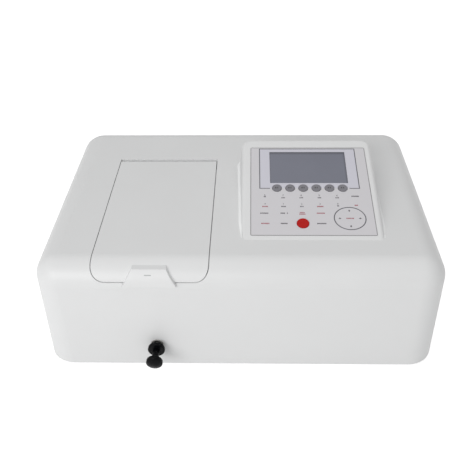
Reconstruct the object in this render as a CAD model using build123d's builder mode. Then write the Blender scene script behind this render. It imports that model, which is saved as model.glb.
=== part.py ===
from build123d import *
import os
from math import cos, radians, sin, tan

os.makedirs("parts", exist_ok=True)

# Spectrophotometer, in millimetres. +Z is up, the front faces -Y, and Z = 0 is under the feet.
# The origin is below the middle of the whole object, knob included.

# Key panel: the film, the screen and the keys, measured from the panel's lower left corner
screen_width = 95.04
screen_height = 53.86
screen_left = 24.5
screen_right = 26.46
screen_low = 83.2
screen_above = 8.34
panel_width = screen_left + screen_width + screen_right
panel_length = screen_low + screen_height + screen_above
panel_start = 6.4
panel_corner = 2.0
film_thickness = 0.7
film_recess = 0.8
film_clearance = 0.3
screen_clearance = 0.3
key_radius = 5.7
key_count = 6
key_pitch = 16.0
first_key_x = 32.3
key_row_y = 74.3
red_key_x = 61.3
red_key_y = 18.4
red_key_radius = 7.2
key_proud = 0.8
key_travel = 0.5
key_clearance = 0.3
key_lug = 1.0
key_lug_height = 5.0
key_lug_thickness = 1.0
key_board_gap = 0.4
board_thickness = 1.6

# Moulded cover: lid and console side by side, with a shelf at each side and one between them
lid_margin = 71.0
lid_width = 130.0
console_gap = 36.0
console_left = 10.0
console_right = 8.0
console_margin = 69.0
console_width = console_left + panel_width + console_right
cover_width = lid_margin + lid_width + console_gap + console_width + console_margin
cover_depth = 327.0
cover_top = 155.0
cover_bottom = 9.0
corner_radius = 33.0
top_radius = 28.0
draft = 1.7
wall = 3.0

# Pull knob, a spool on the end of the carriage's rod
knob_gap = 5.0
knob_rear_radius = 10.0
knob_rear_thickness = 4.6
knob_neck_radius = 4.15
knob_neck_length = 14.9
knob_front_radius = 9.5
knob_front_thickness = 7.0
knob_length = knob_rear_thickness + knob_neck_length + knob_front_thickness
knob_reach = knob_gap + knob_length

front_y = -(cover_depth - knob_reach) / 2
rear_y = front_y + cover_depth
left_x = -cover_width / 2
right_x = cover_width / 2

# Console wedge that carries the key panel
console_start = 57.0
console_rear = 16.2
console_tilt = 13.5
console_lead = 20.0
console_root = 46.0
console_corner = 12.0
console_side_taper = 7.0
console_rear_taper = 6.0
crest_radius = 5.0
console_length = panel_start + panel_length + console_rear
console_x = right_x - console_margin - console_right - panel_width / 2
console_shift = (console_right - console_left) / 2
console_plane = Plane(
    origin=(console_x, front_y + console_start, cover_top),
    x_dir=(1, 0, 0),
    z_dir=(0, -sin(radians(console_tilt)), cos(radians(console_tilt))),
)

# Sample lid
lid_rear = 234.0
lid_gap = 1.0
lid_thickness = 2.5
lid_front_z = 136.6
lid_corner = 16.0
hinge_drop = 6.5
hinge_pin_radius = 1.5
running_gap = 0.05
ledge_width = 6.0
ledge_thickness = 2.5
rib_thickness = 2.0
seal_height = 3.0
seal_gap = 0.3
tab_low_width = 60.0
tab_high_width = 38.0
tab_height = 14.4
tab_proud = 4.2
tab_lip = 3.0
lip_gap = 0.6
lid_x = left_x + lid_margin + lid_width / 2
lid_left = lid_x - lid_width / 2
lid_right = lid_x + lid_width / 2
hinge_y = front_y + lid_rear - hinge_drop
hinge_z = cover_top - hinge_drop

# Base plate, feet and rear panel
sheet = 2.0
base_gap = 1.0
base_z = cover_bottom + base_gap
base_top = base_z + sheet
foot_radius = 14.0
foot_inset = 46.0
foot_taper = 8.0
screw_radius = 1.5
screw_head_radius = 3.2
screw_head_height = 2.0
screw_length = 7.0
panel_sheet = 1.5
rear_opening_low = 19.0
rear_opening_high = 109.0
rear_opening_left = 150.0
rear_opening_right = 186.0
rear_lap = 6.0

# Optical bench and beam
bench_z = 24.0
bench_thickness = 8.0
bench_top = bench_z + bench_thickness
bench_boss_radius = 8.0
beam_depth = 112.0
beam_y = front_y + beam_depth
beam_z = 72.0
beam_hole = 5.0

# Sample tub and cuvette carriage
tub_width = 110.0
tub_front = 36.0
tub_rear = 215.0
tub_wall = 3.0
tub_drop = 16.0
tub_flange = 6.0
tub_front_flange = 20.0
tub_rear_flange = 12.0
window_radius = 8.0
window_thickness = 2.0
cell_size = 12.6
cell_pitch = 16.0
cell_count = 4
cell_wall = 3.4
carriage_length = 72.0
carriage_low = 37.0
carriage_base = 10.0
carriage_height = 50.0
carriage_wing = 40.0
guide_spacing = 60.0
guide_radius = 3.0
rod_radius = 3.0
rod_z = carriage_low + carriage_base / 2
rod_stud_radius = 2.0
rod_stud_length = 13.0
rod_seat = 8.0
bush_radius = 5.0
bush_flange_radius = 7.5
bush_flange = 1.4
slide_travel = cell_pitch * (cell_count - 1)
tub_top = cover_top - tub_drop
tub_y0 = front_y + tub_front
tub_y1 = front_y + tub_rear
tub_x0 = lid_x - tub_width / 2
tub_x1 = lid_x + tub_width / 2

# Detector, left of the tub
detector_length = 46.0
detector_depth = 48.0
detector_height = 70.0
housing_wall = 3.0
diode_radius = 4.6
diode_height = 6.0

# Monochromator, right of the tub
mono_length = 150.0
mono_depth = 166.0
mono_front = 50.0
mono_height = 75.0
mono_wall = 4.0
mono_cover = 3.0
slit_length = 20.0
slit_height = 16.0
slit_width = 1.0
slit_plate = 0.6
mirror_radius = 16.0
mirror_thickness = 7.0
mirror_curve = 260.0
grating_x_offset = 47.0
grating_y_offset = 53.0
grating_size = 30.0
grating_thickness = 6.0
grating_sweep = 30.0
arm_length = 50.0
arm_ball = 5.0
arm_height = 6.0
arm_thickness = 3.0
arm_z = 47.0
table_radius = 17.0
table_thickness = 4.0
pivot_radius = 4.0
entrance_x_offset = 72.0

# Motors, filter wheel and lamp
motor_size = 28.0
motor_depth = 18.0
actuator_depth = 24.0
plunger_radius = 2.5
wheel_radius = 27.0
wheel_thickness = 3.0
wheel_offset = 20.0
filter_radius = 5.5
filter_count = 6
wheel_gap = 5.0
lamp_house_width = 64.0
lamp_house_height = 72.0
lamp_sheet = 1.5
lamp_radius = 5.5
lamp_height = 31.0
socket_radius = 9.0
socket_height = 16.0

# Boards, power and rear fittings
board_z = 19.0
standoff_radius = 3.0
transformer_length = 66.0
transformer_depth = 52.0
transformer_height = 55.0
fan_size = 60.0
fan_depth = 15.0
fan_bore = 28.0
fan_z = 69.0
hub_radius = 11.0
blade_count = 7
inlet_width = 27.0
inlet_height = 32.0
inlet_margin = 75.0
inlet_z = 71.0
rocker_angle = 20.0


# Smaller sizes of the fittings
fit_gap = 0.3
rebate = lid_thickness + 1.2
boss_radius = 3.0
boss_inset = 9.0
ear_inset = 14.0
ear_width = 5.0
ear_gap = 0.5
ear_radius = 3.6
notch_height = 3.0
bracket_thickness = 1.5
rib_inset = 3.0
rib_front = 33.0
seal_lap = 3.0
seal_seat = 0.5
seal_cut = 0.3
post_radius = 5.0
post_inset = 24.0
post_rear_inset = 30.0
post_middle_x = -18.0
foot_screw_seat = 5.0
rear_flange = 12.0
flange_screw_inset = 25.0
vent_pitch = 9.0
vent_count = 6
vent_length = 40.0
vent_width = 4.0
rod_offset = 1.0
cell_floor = 7.0
pocket_width = 7.0
pocket_depth = 1.2
beam_slot_height = 16.0
spring_width = 6.0
spring_thickness = 0.3
groove_depth = 0.9
detent_reach = 12.0
detent_width = 8.0
detent_rise = 4.0
detent_back = 18.0
bush_nut = 3.0
bush_nut_radius = 8.0
knob_dome = 3.0
knob_round = 1.2
bench_margin = 6.0
bench_rim = 3.0
bench_corner = 6.0
bench_boss_inset = 12.0
lug_thickness = 3.0
shaft_radius = 2.5
shaft_depth = 8.0
motor_chamfer = 3.0
chip_size = 14.0
chip_height = 3.0
chip_row = 32.0
chip_count = 5
diode_rim = 1.0
pivot_step = 2.0
table_low = 39.0
table_high = 51.0
mirror_shift = 4.0
mirror_stand = 20.0
mount_thickness = 3.0
mount_foot = 6.0
grating_lift = 1.0
plunger_pad = 9.0
plunger_pad_length = 15.0
plunger_pad_shift = 2.7
plunger_pad_thickness = 3.0
plunger_inset = 2.0
lamp_pins = 6.0
lamp_pin_radius = 0.6
board_margin = 12.0
main_gap = 6.0
standoff_inset = 6.0
power_length = 120.0
power_margin = 110.0
capacitor_radius = 11.0
capacitor_height = 30.0
fin_length = 26.0
fin_thickness = 2.0
fin_pitch = 8.0
fin_count = 9
transformer_front = 52.0
transformer_margin = 70.0
transformer_round = 6.0
transformer_ear = 8.0
window_flange = 1.0
window_lap = 2.0
screen_sink = 0.1
key_round = 0.4
keypad_board_inset = 5.0
display_border = 5.0
display_thickness = 6.0
display_sink = 1.0
inlet_depth = 20.0
inlet_flange = 2.0
inlet_rim = 2.0
inlet_socket_width = 23.0
inlet_socket_height = 16.0
inlet_socket_depth = 17.0
drawer_height = 8.0
drawer_lip = 10.0
drawer_lip_thickness = 1.0
pin_spacing = 7.0
pin_rise = 2.0
pin_width = 2.0
pin_length = 4.0
pin_recess = 2.0
switch_width = 21.0
switch_height = 15.0
switch_depth = 16.0
switch_wall = 1.0
rocker_sink = 0.5
rocker_depth = 6.0
rocker_pin = 1.5
rocker_play = 0.9
rocker_rise = 4.0
rocker_belly = 4.0
rocker_offset = 36.0
usb_width = 12.0
usb_height = 11.0
usb_depth = 16.0
usb_chamfer = 2.0
usb_wall = 1.5
usb_tongue = 5.0
usb_left = 145.0
serial_width = 31.0
serial_height = 12.5
serial_shell = 19.0
serial_shell_height = 9.0
serial_pitch = 2.77
serial_pin = 0.5
serial_proud = 1.5
serial_left = 110.0
fan_holes = 50.0
fan_corner = 3.0
strut_thickness = 2.0
strut_width = 4.0
strut_count = 3
spigot_radius = 2.0
spigot_length = 8.0
blade_thickness = 1.5
blade_chord = 10.0
blade_pitch = 35.0
blade_gap = 1.0
ring_count = 4
ring_pitch = 6.5
wire = 1.6
wire_eye = 3.0
vent_left = 70.0
vent_z = 71.0

post_x = cover_width / 2 - post_inset
post_front = front_y + post_inset
post_rear = rear_y - post_rear_inset
board_top = board_z + board_thickness
board_drop = wall + running_gap + key_lug_thickness + key_travel + key_board_gap
screen_place = (
    screen_left + screen_width / 2 - panel_width / 2,
    panel_start + screen_low + screen_height / 2,
)
key_places = [
    (first_key_x + i * key_pitch - panel_width / 2, panel_start + key_row_y) for i in range(key_count)
]
red_key_place = (red_key_x - panel_width / 2, panel_start + red_key_y)
board_bosses = [
    (x, y)
    for x in (-panel_width / 2 + boss_inset, panel_width / 2 - boss_inset)
    for y in (panel_start + boss_inset, panel_start + panel_length - boss_inset)
]
inlet_x = right_x - inlet_margin
rocker_x = inlet_x - rocker_offset
usb_x = left_x + usb_left
serial_x = left_x + serial_left
vent_x = left_x + vent_left + vent_length
transformer_x = right_x - transformer_margin
transformer_y = front_y + transformer_front + transformer_depth / 2
power_y = rear_y - power_margin


def save(builder, name):
    """Labels a finished piece and writes it."""
    builder.part.label = name
    export_step(builder.part, f"parts/{name}.step")


def box_at(x0, x1, y0, y1, z0, z1):
    """A plain block between two corners, for use inside a part."""
    return Pos((x0 + x1) / 2, (y0 + y1) / 2, (z0 + z1) / 2) * Box(x1 - x0, y1 - y0, z1 - z0, mode=Mode.PRIVATE)


# Forms shared by the cover and the lid

def cover_form(inset):
    """The cover's outside, moved inwards by inset (outwards where it is negative)."""
    with BuildPart() as body:
        with BuildSketch(Plane.XY.offset(cover_bottom)):
            with Locations((0, (front_y + rear_y) / 2)):
                RectangleRounded(cover_width - 2 * inset, cover_depth - 2 * inset, corner_radius - inset)
        extrude(amount=cover_top - cover_bottom - inset, taper=draft)
        fillet(body.faces().sort_by(Axis.Z)[-1].edges(), top_radius - inset)
    return body.part


def console_form(inset):
    """The wedge under the key panel, moved inwards by inset."""
    crest = console_plane.offset(-inset)
    side = inset * tan(radians(45 - console_side_taper / 2))
    rear = inset * tan(radians(45 - console_rear_taper / 2))
    length = console_length + console_lead - rear
    root_length = length + console_root * tan(radians(console_rear_taper))
    root_width = console_width + 2 * console_root * tan(radians(console_side_taper))
    with BuildPart() as wedge:
        with BuildSketch(crest):
            with Locations((console_shift, length / 2 - console_lead)):
                RectangleRounded(console_width - 2 * side, length, console_corner - inset)
        with BuildSketch(crest.offset(-console_root)):
            with Locations((console_shift, root_length / 2 - console_lead)):
                RectangleRounded(root_width - 2 * side, root_length, console_corner + console_root / 8)
        loft(ruled=True)
        top = wedge.faces().sort_by(Axis(crest.origin, crest.z_dir))[-1]
        fillet(top.edges(), crest_radius - inset)
    return wedge.part


def lid_prism(grow):
    """The lid's outline seen from the front, run back to its rear edge and grown by grow."""
    with BuildPart() as prism:
        with BuildSketch(Plane.XZ.offset(-(front_y - knob_reach))):
            with BuildLine():
                x0 = lid_left - grow
                x1 = lid_right + grow
                z0 = lid_front_z - grow
                z1 = cover_top + hinge_drop
                FilletPolyline(
                    (x0, z1), (x0, z0), (x1, z0), (x1, z1),
                    radius=lid_corner + grow,
                )
                Line((x1, z1), (x0, z1))
            make_face()
        extrude(amount=-(lid_rear + grow + knob_reach))
    return prism.part


# Derived places used by several pieces
carriage_x = lid_x + rod_offset
mono_x0 = tub_x1
mono_x1 = mono_x0 + mono_length
mono_y0 = front_y + mono_front
mono_y1 = mono_y0 + mono_depth
mono_floor = bench_top + mono_wall
mono_top = bench_top + mono_height
pivot_x = mono_x0 + grating_x_offset
pivot_y = beam_y + grating_y_offset
entrance_x = mono_x0 + entrance_x_offset
panel_top = rear_opening_high + rear_lap
panel_y1 = rear_y - wall - (panel_top - cover_bottom) * tan(radians(draft)) - fit_gap
panel_y0 = panel_y1 - panel_sheet
panel_x0 = -rear_opening_left - rear_lap
panel_x1 = rear_opening_right + rear_lap
fan_y0 = panel_y0 - fan_depth
lug_y = mono_y1 + 2 * wheel_gap
motor_y1 = lug_y + lug_thickness + motor_depth
lamp_y0 = motor_y1 + wheel_gap / 2
lamp_y1 = fan_y0 - 2.0
lamp_y = (lamp_y0 + lamp_y1) / 2
post_places = [
    (-post_x, post_front), (post_middle_x, post_front), (post_x, post_front),
    (-post_x, post_rear), (post_x, post_rear),
]
foot_places = [
    (x, y)
    for x in (left_x + foot_inset, right_x - foot_inset)
    for y in (front_y + foot_inset, rear_y - foot_inset)
]
flange_screw_y = panel_y0 - rear_flange / 2
flange_screws = [(x, flange_screw_y) for x in (panel_x0 + flange_screw_inset, panel_x1 - flange_screw_inset)]


# Forms that the cover and the lid are cut from
outside = cover_form(0)
lining = cover_form(wall)
console_outside = console_form(0)
console_lining = console_form(wall)
post_limit = cover_form(wall / 2)
lid_band = lid_prism(lid_gap + ledge_thickness) & (outside - cover_form(rebate + ledge_thickness))
lid_rebate = lid_prism(lid_gap) - cover_form(rebate)
lid_passage = lid_prism(-ledge_width)
lid_shell = (lid_prism(0) & outside) - cover_form(lid_thickness)
tab_outside = cover_form(-tab_proud)
tab_inside = cover_form(lid_thickness / 2)
lip_clearance = cover_form(-lip_gap) & box_at(
    lid_left, lid_right, front_y - knob_reach, front_y + top_radius,
    lid_front_z - 2 * tab_lip, lid_front_z,
)

# Cover: moulded shell with the lid opening, its ledge, the console and the posts for its screws
with BuildPart() as top_cover:
    add(outside)
    add(console_outside)
    add(lining, mode=Mode.SUBTRACT)
    add(console_lining, mode=Mode.SUBTRACT)
    # screw posts, from the base plate up into the top wall
    with BuildSketch(Plane.XY.offset(base_top)):
        with Locations(post_places):
            Circle(post_radius)
    posts = extrude(amount=cover_top - base_top, mode=Mode.PRIVATE)
    add(posts & post_limit)
    # the rim round the lid opening: a thicker band, rebated for the lid
    add(lid_band)
    add(lid_rebate, mode=Mode.SUBTRACT)
    add(lid_passage, mode=Mode.SUBTRACT)
    add(
        box_at(
            lid_left - lid_gap, lid_right + lid_gap,
            hinge_y - 2 * hinge_drop, front_y + lid_rear + lid_gap,
            tub_top, cover_top + hinge_drop,
        ),
        mode=Mode.SUBTRACT,
    )
    # film recess, screen window and key holes
    with BuildSketch(console_plane):
        with Locations((0, panel_start + panel_length / 2)):
            RectangleRounded(panel_width, panel_length, panel_corner)
    extrude(amount=-film_recess, mode=Mode.SUBTRACT)
    with BuildSketch(console_plane):
        with Locations(screen_place):
            Rectangle(screen_width + 2 * screen_clearance, screen_height + 2 * screen_clearance)
        with Locations(key_places):
            Circle(key_radius + key_clearance)
        with Locations(red_key_place):
            Circle(red_key_radius + key_clearance)
    extrude(amount=-2 * wall, mode=Mode.SUBTRACT)
    # bosses that carry the key board
    with BuildSketch(console_plane.offset(-wall)):
        with Locations(board_bosses):
            Circle(boss_radius)
    extrude(amount=wall - board_drop)
    # hole for the rod's bush, opening for the rear panel, screw holes in the posts
    with BuildSketch(Plane.XZ.offset(-(front_y - knob_reach))):
        with Locations((carriage_x, rod_z)):
            Circle(bush_radius)
    extrude(amount=-(knob_reach + 3 * wall), mode=Mode.SUBTRACT)
    add(
        box_at(
            -rear_opening_left, rear_opening_right, panel_y1, rear_y + wall,
            rear_opening_low, rear_opening_high,
        ),
        mode=Mode.SUBTRACT,
    )
    with BuildSketch(Plane.XY.offset(base_top)):
        with Locations(post_places):
            Circle(screw_radius)
    extrude(amount=screw_length, mode=Mode.SUBTRACT)
save(top_cover, "top_cover")

# Base plate: a steel sheet inside the cover's skirt, with vent slots under the lamp and the power board
with BuildPart() as base_plate:
    with BuildSketch(Plane.XY.offset(base_z)):
        inset = wall + base_gap
        with Locations((0, (front_y + rear_y) / 2)):
            RectangleRounded(cover_width - 2 * inset, cover_depth - 2 * inset, corner_radius - inset)
        with Locations([(entrance_x, lamp_y), (transformer_x, power_y)]):
            with GridLocations(vent_pitch, 0, vent_count, 1):
                SlotOverall(vent_length, vent_width, rotation=90, mode=Mode.SUBTRACT)
        with Locations(post_places + foot_places + flange_screws):
            Circle(screw_radius, mode=Mode.SUBTRACT)
    extrude(amount=sheet)
save(base_plate, "base_plate")

# Rubber feet, each a tapered stud with a counterbore for its screw
with BuildPart() as rubber_feet:
    with BuildSketch(Plane.XY.offset(base_z)):
        with Locations(foot_places):
            Circle(foot_radius)
    extrude(amount=-base_z, taper=foot_taper)
    with Locations([Location((x, y, 0), (180, 0, 0)) for x, y in foot_places]):
        CounterBoreHole(screw_radius, screw_head_radius + 1, base_z - foot_screw_seat, base_z)
save(rubber_feet, "rubber_feet")

# Screws: through the feet, into the cover's posts and through the rear panel's flange
with BuildPart() as case_screws:
    for places, z in (
        (foot_places, base_z - foot_screw_seat),
        (post_places, base_z),
        (flange_screws, base_z),
    ):
        with BuildSketch(Plane.XY.offset(z)):
            with Locations(places):
                Circle(screw_head_radius)
        extrude(amount=-screw_head_height)
        with BuildSketch(Plane.XY.offset(z)):
            with Locations(places):
                Circle(screw_radius)
        extrude(amount=screw_length)
save(case_screws, "case_screws")

# Rear panel: folded sheet with the cut-outs for fan, inlet, switch and sockets
with BuildPart() as rear_panel:
    add(box_at(panel_x0, panel_x1, panel_y0, panel_y1, base_top, panel_top))
    add(box_at(panel_x0, panel_x1, panel_y1 - rear_flange, panel_y1, base_top, base_top + panel_sheet))
    with BuildSketch(Plane.XZ.offset(-panel_y0)):
        with Locations((entrance_x, fan_z)):
            Circle(fan_bore)
            with GridLocations(fan_holes, fan_holes, 2, 2):
                Circle(screw_radius)
        with Locations((inlet_x, inlet_z)):
            Rectangle(inlet_width + 2 * fit_gap, inlet_height + 2 * fit_gap)
        with Locations((rocker_x, inlet_z)):
            Rectangle(switch_width + 2 * fit_gap, switch_height + 2 * fit_gap)
        with Locations((usb_x, board_top + usb_height / 2)):
            Rectangle(usb_width + 2 * fit_gap, usb_height + 2 * fit_gap)
        with Locations((serial_x, board_top + serial_height / 2)):
            Rectangle(serial_width + 2 * fit_gap, serial_height + 2 * fit_gap)
        with Locations((vent_x, vent_z)):
            with GridLocations(0, vent_pitch, 1, vent_count):
                SlotOverall(vent_length, vent_width)
    extrude(amount=-panel_sheet, mode=Mode.SUBTRACT)
    with BuildSketch(Plane.XY.offset(base_top)):
        with Locations(flange_screws):
            Circle(screw_radius)
    extrude(amount=panel_sheet, mode=Mode.SUBTRACT)
save(rear_panel, "rear_panel")

# Lid: a moulded shell cut from the cover's own form, with hinge knuckle, collar and lipped grip tab
ear_places = [lid_left + ear_inset, lid_right - ear_inset - ear_width]
knuckle_x0 = lid_left + ear_inset + ear_width + ear_gap
knuckle_x1 = lid_right - ear_inset - ear_width - ear_gap
knuckle_radius = hinge_drop - lid_thickness
rib_x = lid_width / 2 - ledge_width - rib_inset
rib_y0 = front_y + rib_front
rib_y1 = tub_y1 + seal_seat
rib_z = tub_top + seal_gap + seal_height
hinge_axis = Axis((lid_x, hinge_y, hinge_z), (1, 0, 0))
with BuildPart() as lid:
    add(lid_shell)
    add(
        box_at(lid_left, lid_right, hinge_y, hinge_y + 2 * hinge_drop, tub_top, cover_top + wall),
        mode=Mode.SUBTRACT,
    )
    # rear edge: a quarter round about the hinge pin, with the knuckle between the brackets
    with BuildSketch(Plane.YZ.offset(lid_left)) as skin:
        with Locations((hinge_y, hinge_z)):
            Circle(hinge_drop)
            Circle(knuckle_radius, mode=Mode.SUBTRACT)
        with Locations((hinge_y + hinge_drop, hinge_z + hinge_drop)):
            Rectangle(2 * hinge_drop, 2 * hinge_drop, mode=Mode.INTERSECT)
    extrude(amount=lid_width)
    with BuildSketch(Plane.YZ.offset(knuckle_x0)):
        with Locations((hinge_y, hinge_z)):
            Circle(knuckle_radius)
    extrude(amount=knuckle_x1 - knuckle_x0)
    # collar that carries the seal
    with BuildSketch(Plane.XY.offset(rib_z)):
        with Locations((lid_x, (rib_y0 + rib_y1) / 2)):
            RectangleRounded(2 * rib_x, rib_y1 - rib_y0, 2 * rib_thickness)
            RectangleRounded(
                2 * rib_x - 2 * rib_thickness, rib_y1 - rib_y0 - 2 * rib_thickness, rib_thickness,
                mode=Mode.SUBTRACT,
            )
    extrude(amount=cover_top - lid_thickness - rib_z)
    with BuildSketch(Plane.YZ.offset(knuckle_x0)):
        with Locations((hinge_y, hinge_z)):
            Circle(hinge_pin_radius + running_gap)
    extrude(amount=knuckle_x1 - knuckle_x0, mode=Mode.SUBTRACT)
    # grip tab over the front rounding
    with BuildSketch(Plane.XZ.offset(-(front_y - knob_reach))):
        with BuildLine():
            Polyline(
                (lid_x - tab_low_width / 2, lid_front_z - tab_lip),
                (lid_x + tab_low_width / 2, lid_front_z - tab_lip),
                (lid_x + tab_high_width / 2, lid_front_z + tab_height),
                (lid_x - tab_high_width / 2, lid_front_z + tab_height),
                close=True,
            )
        make_face()
    tab = extrude(amount=-(knob_reach + top_radius + wall), mode=Mode.PRIVATE)
    add((tab & tab_outside) - tab_inside - lip_clearance)
    # notches that let the skin turn past the brackets
    for x in ear_places:
        add(
            box_at(
                x - ear_gap, x + ear_width + ear_gap, hinge_y + 1, hinge_y + 2 * hinge_drop,
                hinge_z - hinge_drop, hinge_z + notch_height,
            ),
            mode=Mode.SUBTRACT,
        )
save(lid, "lid")

# Foam seal under the lid's collar: four strips, the side ones cut to fit between the other two
seal_width = rib_thickness + seal_lap
seal_x0 = lid_x - rib_x - seal_lap / 2
seal_x1 = lid_x + rib_x + seal_lap / 2
seal_y0 = rib_y0 - seal_lap / 2
seal_y1 = rib_y1 + seal_lap / 2
with BuildPart() as lid_seal:
    for y in (seal_y0, seal_y1 - seal_width):
        add(box_at(seal_x0, seal_x1, y, y + seal_width, rib_z - seal_height, rib_z))
    for x in (seal_x0, seal_x1 - seal_width):
        add(
            box_at(
                x, x + seal_width, seal_y0 + seal_width + seal_cut, seal_y1 - seal_width - seal_cut,
                rib_z - seal_height, rib_z,
            )
        )
save(lid_seal, "lid_seal")

# Hinge brackets on the tub's rear rim: a foot and an ear that leans forward, clear of the lid's skin
ear_reach = hinge_z - tub_top
ear_side = ear_radius * sin(radians(45))
with BuildPart() as hinge_brackets:
    for x in ear_places:
        with BuildSketch(Plane.YZ.offset(x)):
            with Locations((hinge_y, hinge_z)):
                Circle(ear_radius)
            with BuildLine():
                Polyline(
                    (hinge_y - ear_side, hinge_z + ear_side),
                    (hinge_y + ear_side, hinge_z - ear_side),
                    (hinge_y + 2 * ear_side - ear_reach, tub_top),
                    (hinge_y - ear_reach, tub_top),
                    (hinge_y - ear_reach, hinge_z + 2 * ear_side - ear_reach),
                    close=True,
                )
            make_face()
            with Locations((hinge_y, hinge_z)):
                Circle(hinge_pin_radius, mode=Mode.SUBTRACT)
        extrude(amount=ear_width)
    for x in ear_places:
        add(
            box_at(
                x - ear_width, x + 2 * ear_width,
                hinge_y - ear_reach, hinge_y - bracket_thickness,
                tub_top, tub_top + bracket_thickness,
            )
        )
save(hinge_brackets, "hinge_brackets")

# Hinge pin, held in the brackets
with BuildPart() as hinge_pin:
    with BuildSketch(Plane.YZ.offset(ear_places[0])):
        with Locations((hinge_y, hinge_z)):
            Circle(hinge_pin_radius)
    extrude(amount=ear_places[1] + ear_width - ear_places[0])
save(hinge_pin, "hinge_pin")

# Sample tub: black trough under the lid, with a wide rim, beam holes and seats for the guide rods
with BuildPart() as sample_tub:
    add(box_at(tub_x0, tub_x1, tub_y0, tub_y1, bench_top, tub_top))
    add(
        box_at(
            tub_x0 - tub_flange, tub_x1 + tub_flange,
            tub_y0 - tub_front_flange, tub_y1 + tub_rear_flange,
            tub_top - tub_wall, tub_top,
        )
    )
    fillet(sample_tub.edges().filter_by(Axis.Z).group_by(SortBy.LENGTH)[0], tub_flange)
    add(
        box_at(
            tub_x0 + tub_wall, tub_x1 - tub_wall, tub_y0 + tub_wall, tub_y1 - tub_wall,
            bench_top + tub_wall, tub_top + tub_wall,
        ),
        mode=Mode.SUBTRACT,
    )
    with BuildSketch(Plane.YZ.offset(tub_x0)):
        with Locations((beam_y, beam_z)):
            Circle(beam_hole)
    extrude(amount=tub_width, mode=Mode.SUBTRACT)
    for x in (tub_x0, tub_x1 - window_thickness):
        with BuildSketch(Plane.YZ.offset(x)):
            with Locations((beam_y, beam_z)):
                Circle(window_radius)
        extrude(amount=window_thickness, mode=Mode.SUBTRACT)
    with BuildSketch(Plane.XZ.offset(-tub_y0)):
        with Locations((carriage_x, rod_z)):
            with GridLocations(guide_spacing, 0, 2, 1):
                Circle(guide_radius)
    extrude(amount=-(tub_y1 - tub_y0), mode=Mode.SUBTRACT)
    with BuildSketch(Plane.XZ.offset(-tub_y0)):
        with Locations((carriage_x, rod_z)):
            Circle(rod_radius + fit_gap)
    extrude(amount=-tub_wall, mode=Mode.SUBTRACT)
save(sample_tub, "sample_tub")

# Beam windows, one in each side wall of the tub
with BuildPart() as beam_windows:
    for x in (tub_x0, tub_x1 - window_thickness):
        with BuildSketch(Plane.YZ.offset(x)):
            with Locations((beam_y, beam_z)):
                Circle(window_radius)
        extrude(amount=window_thickness)
save(beam_windows, "beam_windows")

# Guide rods for the carriage
with BuildPart() as guide_rods:
    with BuildSketch(Plane.XZ.offset(-tub_y0)):
        with Locations((carriage_x, rod_z)):
            with GridLocations(guide_spacing, 0, 2, 1):
                Circle(guide_radius)
    extrude(amount=-(tub_y1 - tub_y0))
save(guide_rods, "guide_rods")

# Four-cell carriage: a base that runs on the guide rods, and a block of square wells with beam slots
carriage_y0 = beam_y - (carriage_length - slide_travel) / 2
carriage_y1 = carriage_y0 + carriage_length
block_width = cell_size + 2 * cell_wall
carriage_top = carriage_low + carriage_height
cell_places = [(carriage_x, beam_y + i * cell_pitch) for i in range(cell_count)]
with BuildPart() as cell_carriage:
    add(
        box_at(
            carriage_x - carriage_wing, carriage_x + carriage_wing, carriage_y0, carriage_y1,
            carriage_low, carriage_low + carriage_base,
        )
    )
    fillet(cell_carriage.edges().filter_by(Axis.Z), rod_radius)
    add(
        box_at(
            carriage_x - block_width / 2, carriage_x + block_width / 2, carriage_y0, carriage_y1,
            carriage_low + carriage_base, carriage_top,
        )
    )
    with BuildSketch(Plane.XY.offset(carriage_top)):
        with Locations(cell_places):
            Rectangle(cell_size, cell_size)
    extrude(amount=-(carriage_height - carriage_base - cell_floor), mode=Mode.SUBTRACT)
    with BuildSketch(Plane.XY.offset(carriage_top)):
        with Locations([(x, y + (cell_size + pocket_depth) / 2) for x, y in cell_places]):
            Rectangle(pocket_width, pocket_depth)
    extrude(amount=-(carriage_height - carriage_base - 2 * cell_floor), mode=Mode.SUBTRACT)
    with BuildSketch(Plane.YZ.offset(carriage_x - block_width / 2)):
        with Locations([(y, beam_z) for x, y in cell_places]):
            SlotOverall(beam_slot_height, beam_hole, rotation=90)
    extrude(amount=block_width, mode=Mode.SUBTRACT)
    with BuildSketch(Plane.XZ.offset(-carriage_y0)):
        with Locations((carriage_x, rod_z)):
            with GridLocations(guide_spacing, 0, 2, 1):
                Circle(guide_radius + running_gap)
    extrude(amount=-carriage_length, mode=Mode.SUBTRACT)
    with BuildSketch(Plane.XZ.offset(-carriage_y0)):
        with Locations((carriage_x, rod_z)):
            Circle(rod_radius)
    extrude(amount=-rod_seat, mode=Mode.SUBTRACT)
save(cell_carriage, "cell_carriage")

# Leaf springs, one bowed strip in the pocket of each well
spring_low = carriage_low + carriage_base + 2 * cell_floor
spring_high = carriage_top - cell_floor / 2
with BuildPart() as cell_springs:
    with BuildSketch(Plane.YZ.offset(carriage_x - spring_width / 2)):
        for x, y in cell_places:
            back = y + cell_size / 2 + pocket_depth
            crown = back - pocket_depth + spring_thickness
            middle = (spring_low + spring_high) / 2
            with BuildLine():
                ThreePointArc((back, spring_low), (crown, middle), (back, spring_high))
                Line((back, spring_high), (back - spring_thickness, spring_high))
                ThreePointArc(
                    (back - spring_thickness, spring_high),
                    (crown - spring_thickness, middle),
                    (back - spring_thickness, spring_low),
                )
                Line((back - spring_thickness, spring_low), (back, spring_low))
            make_face()
    extrude(amount=spring_width)
save(cell_springs, "cell_springs")

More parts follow.
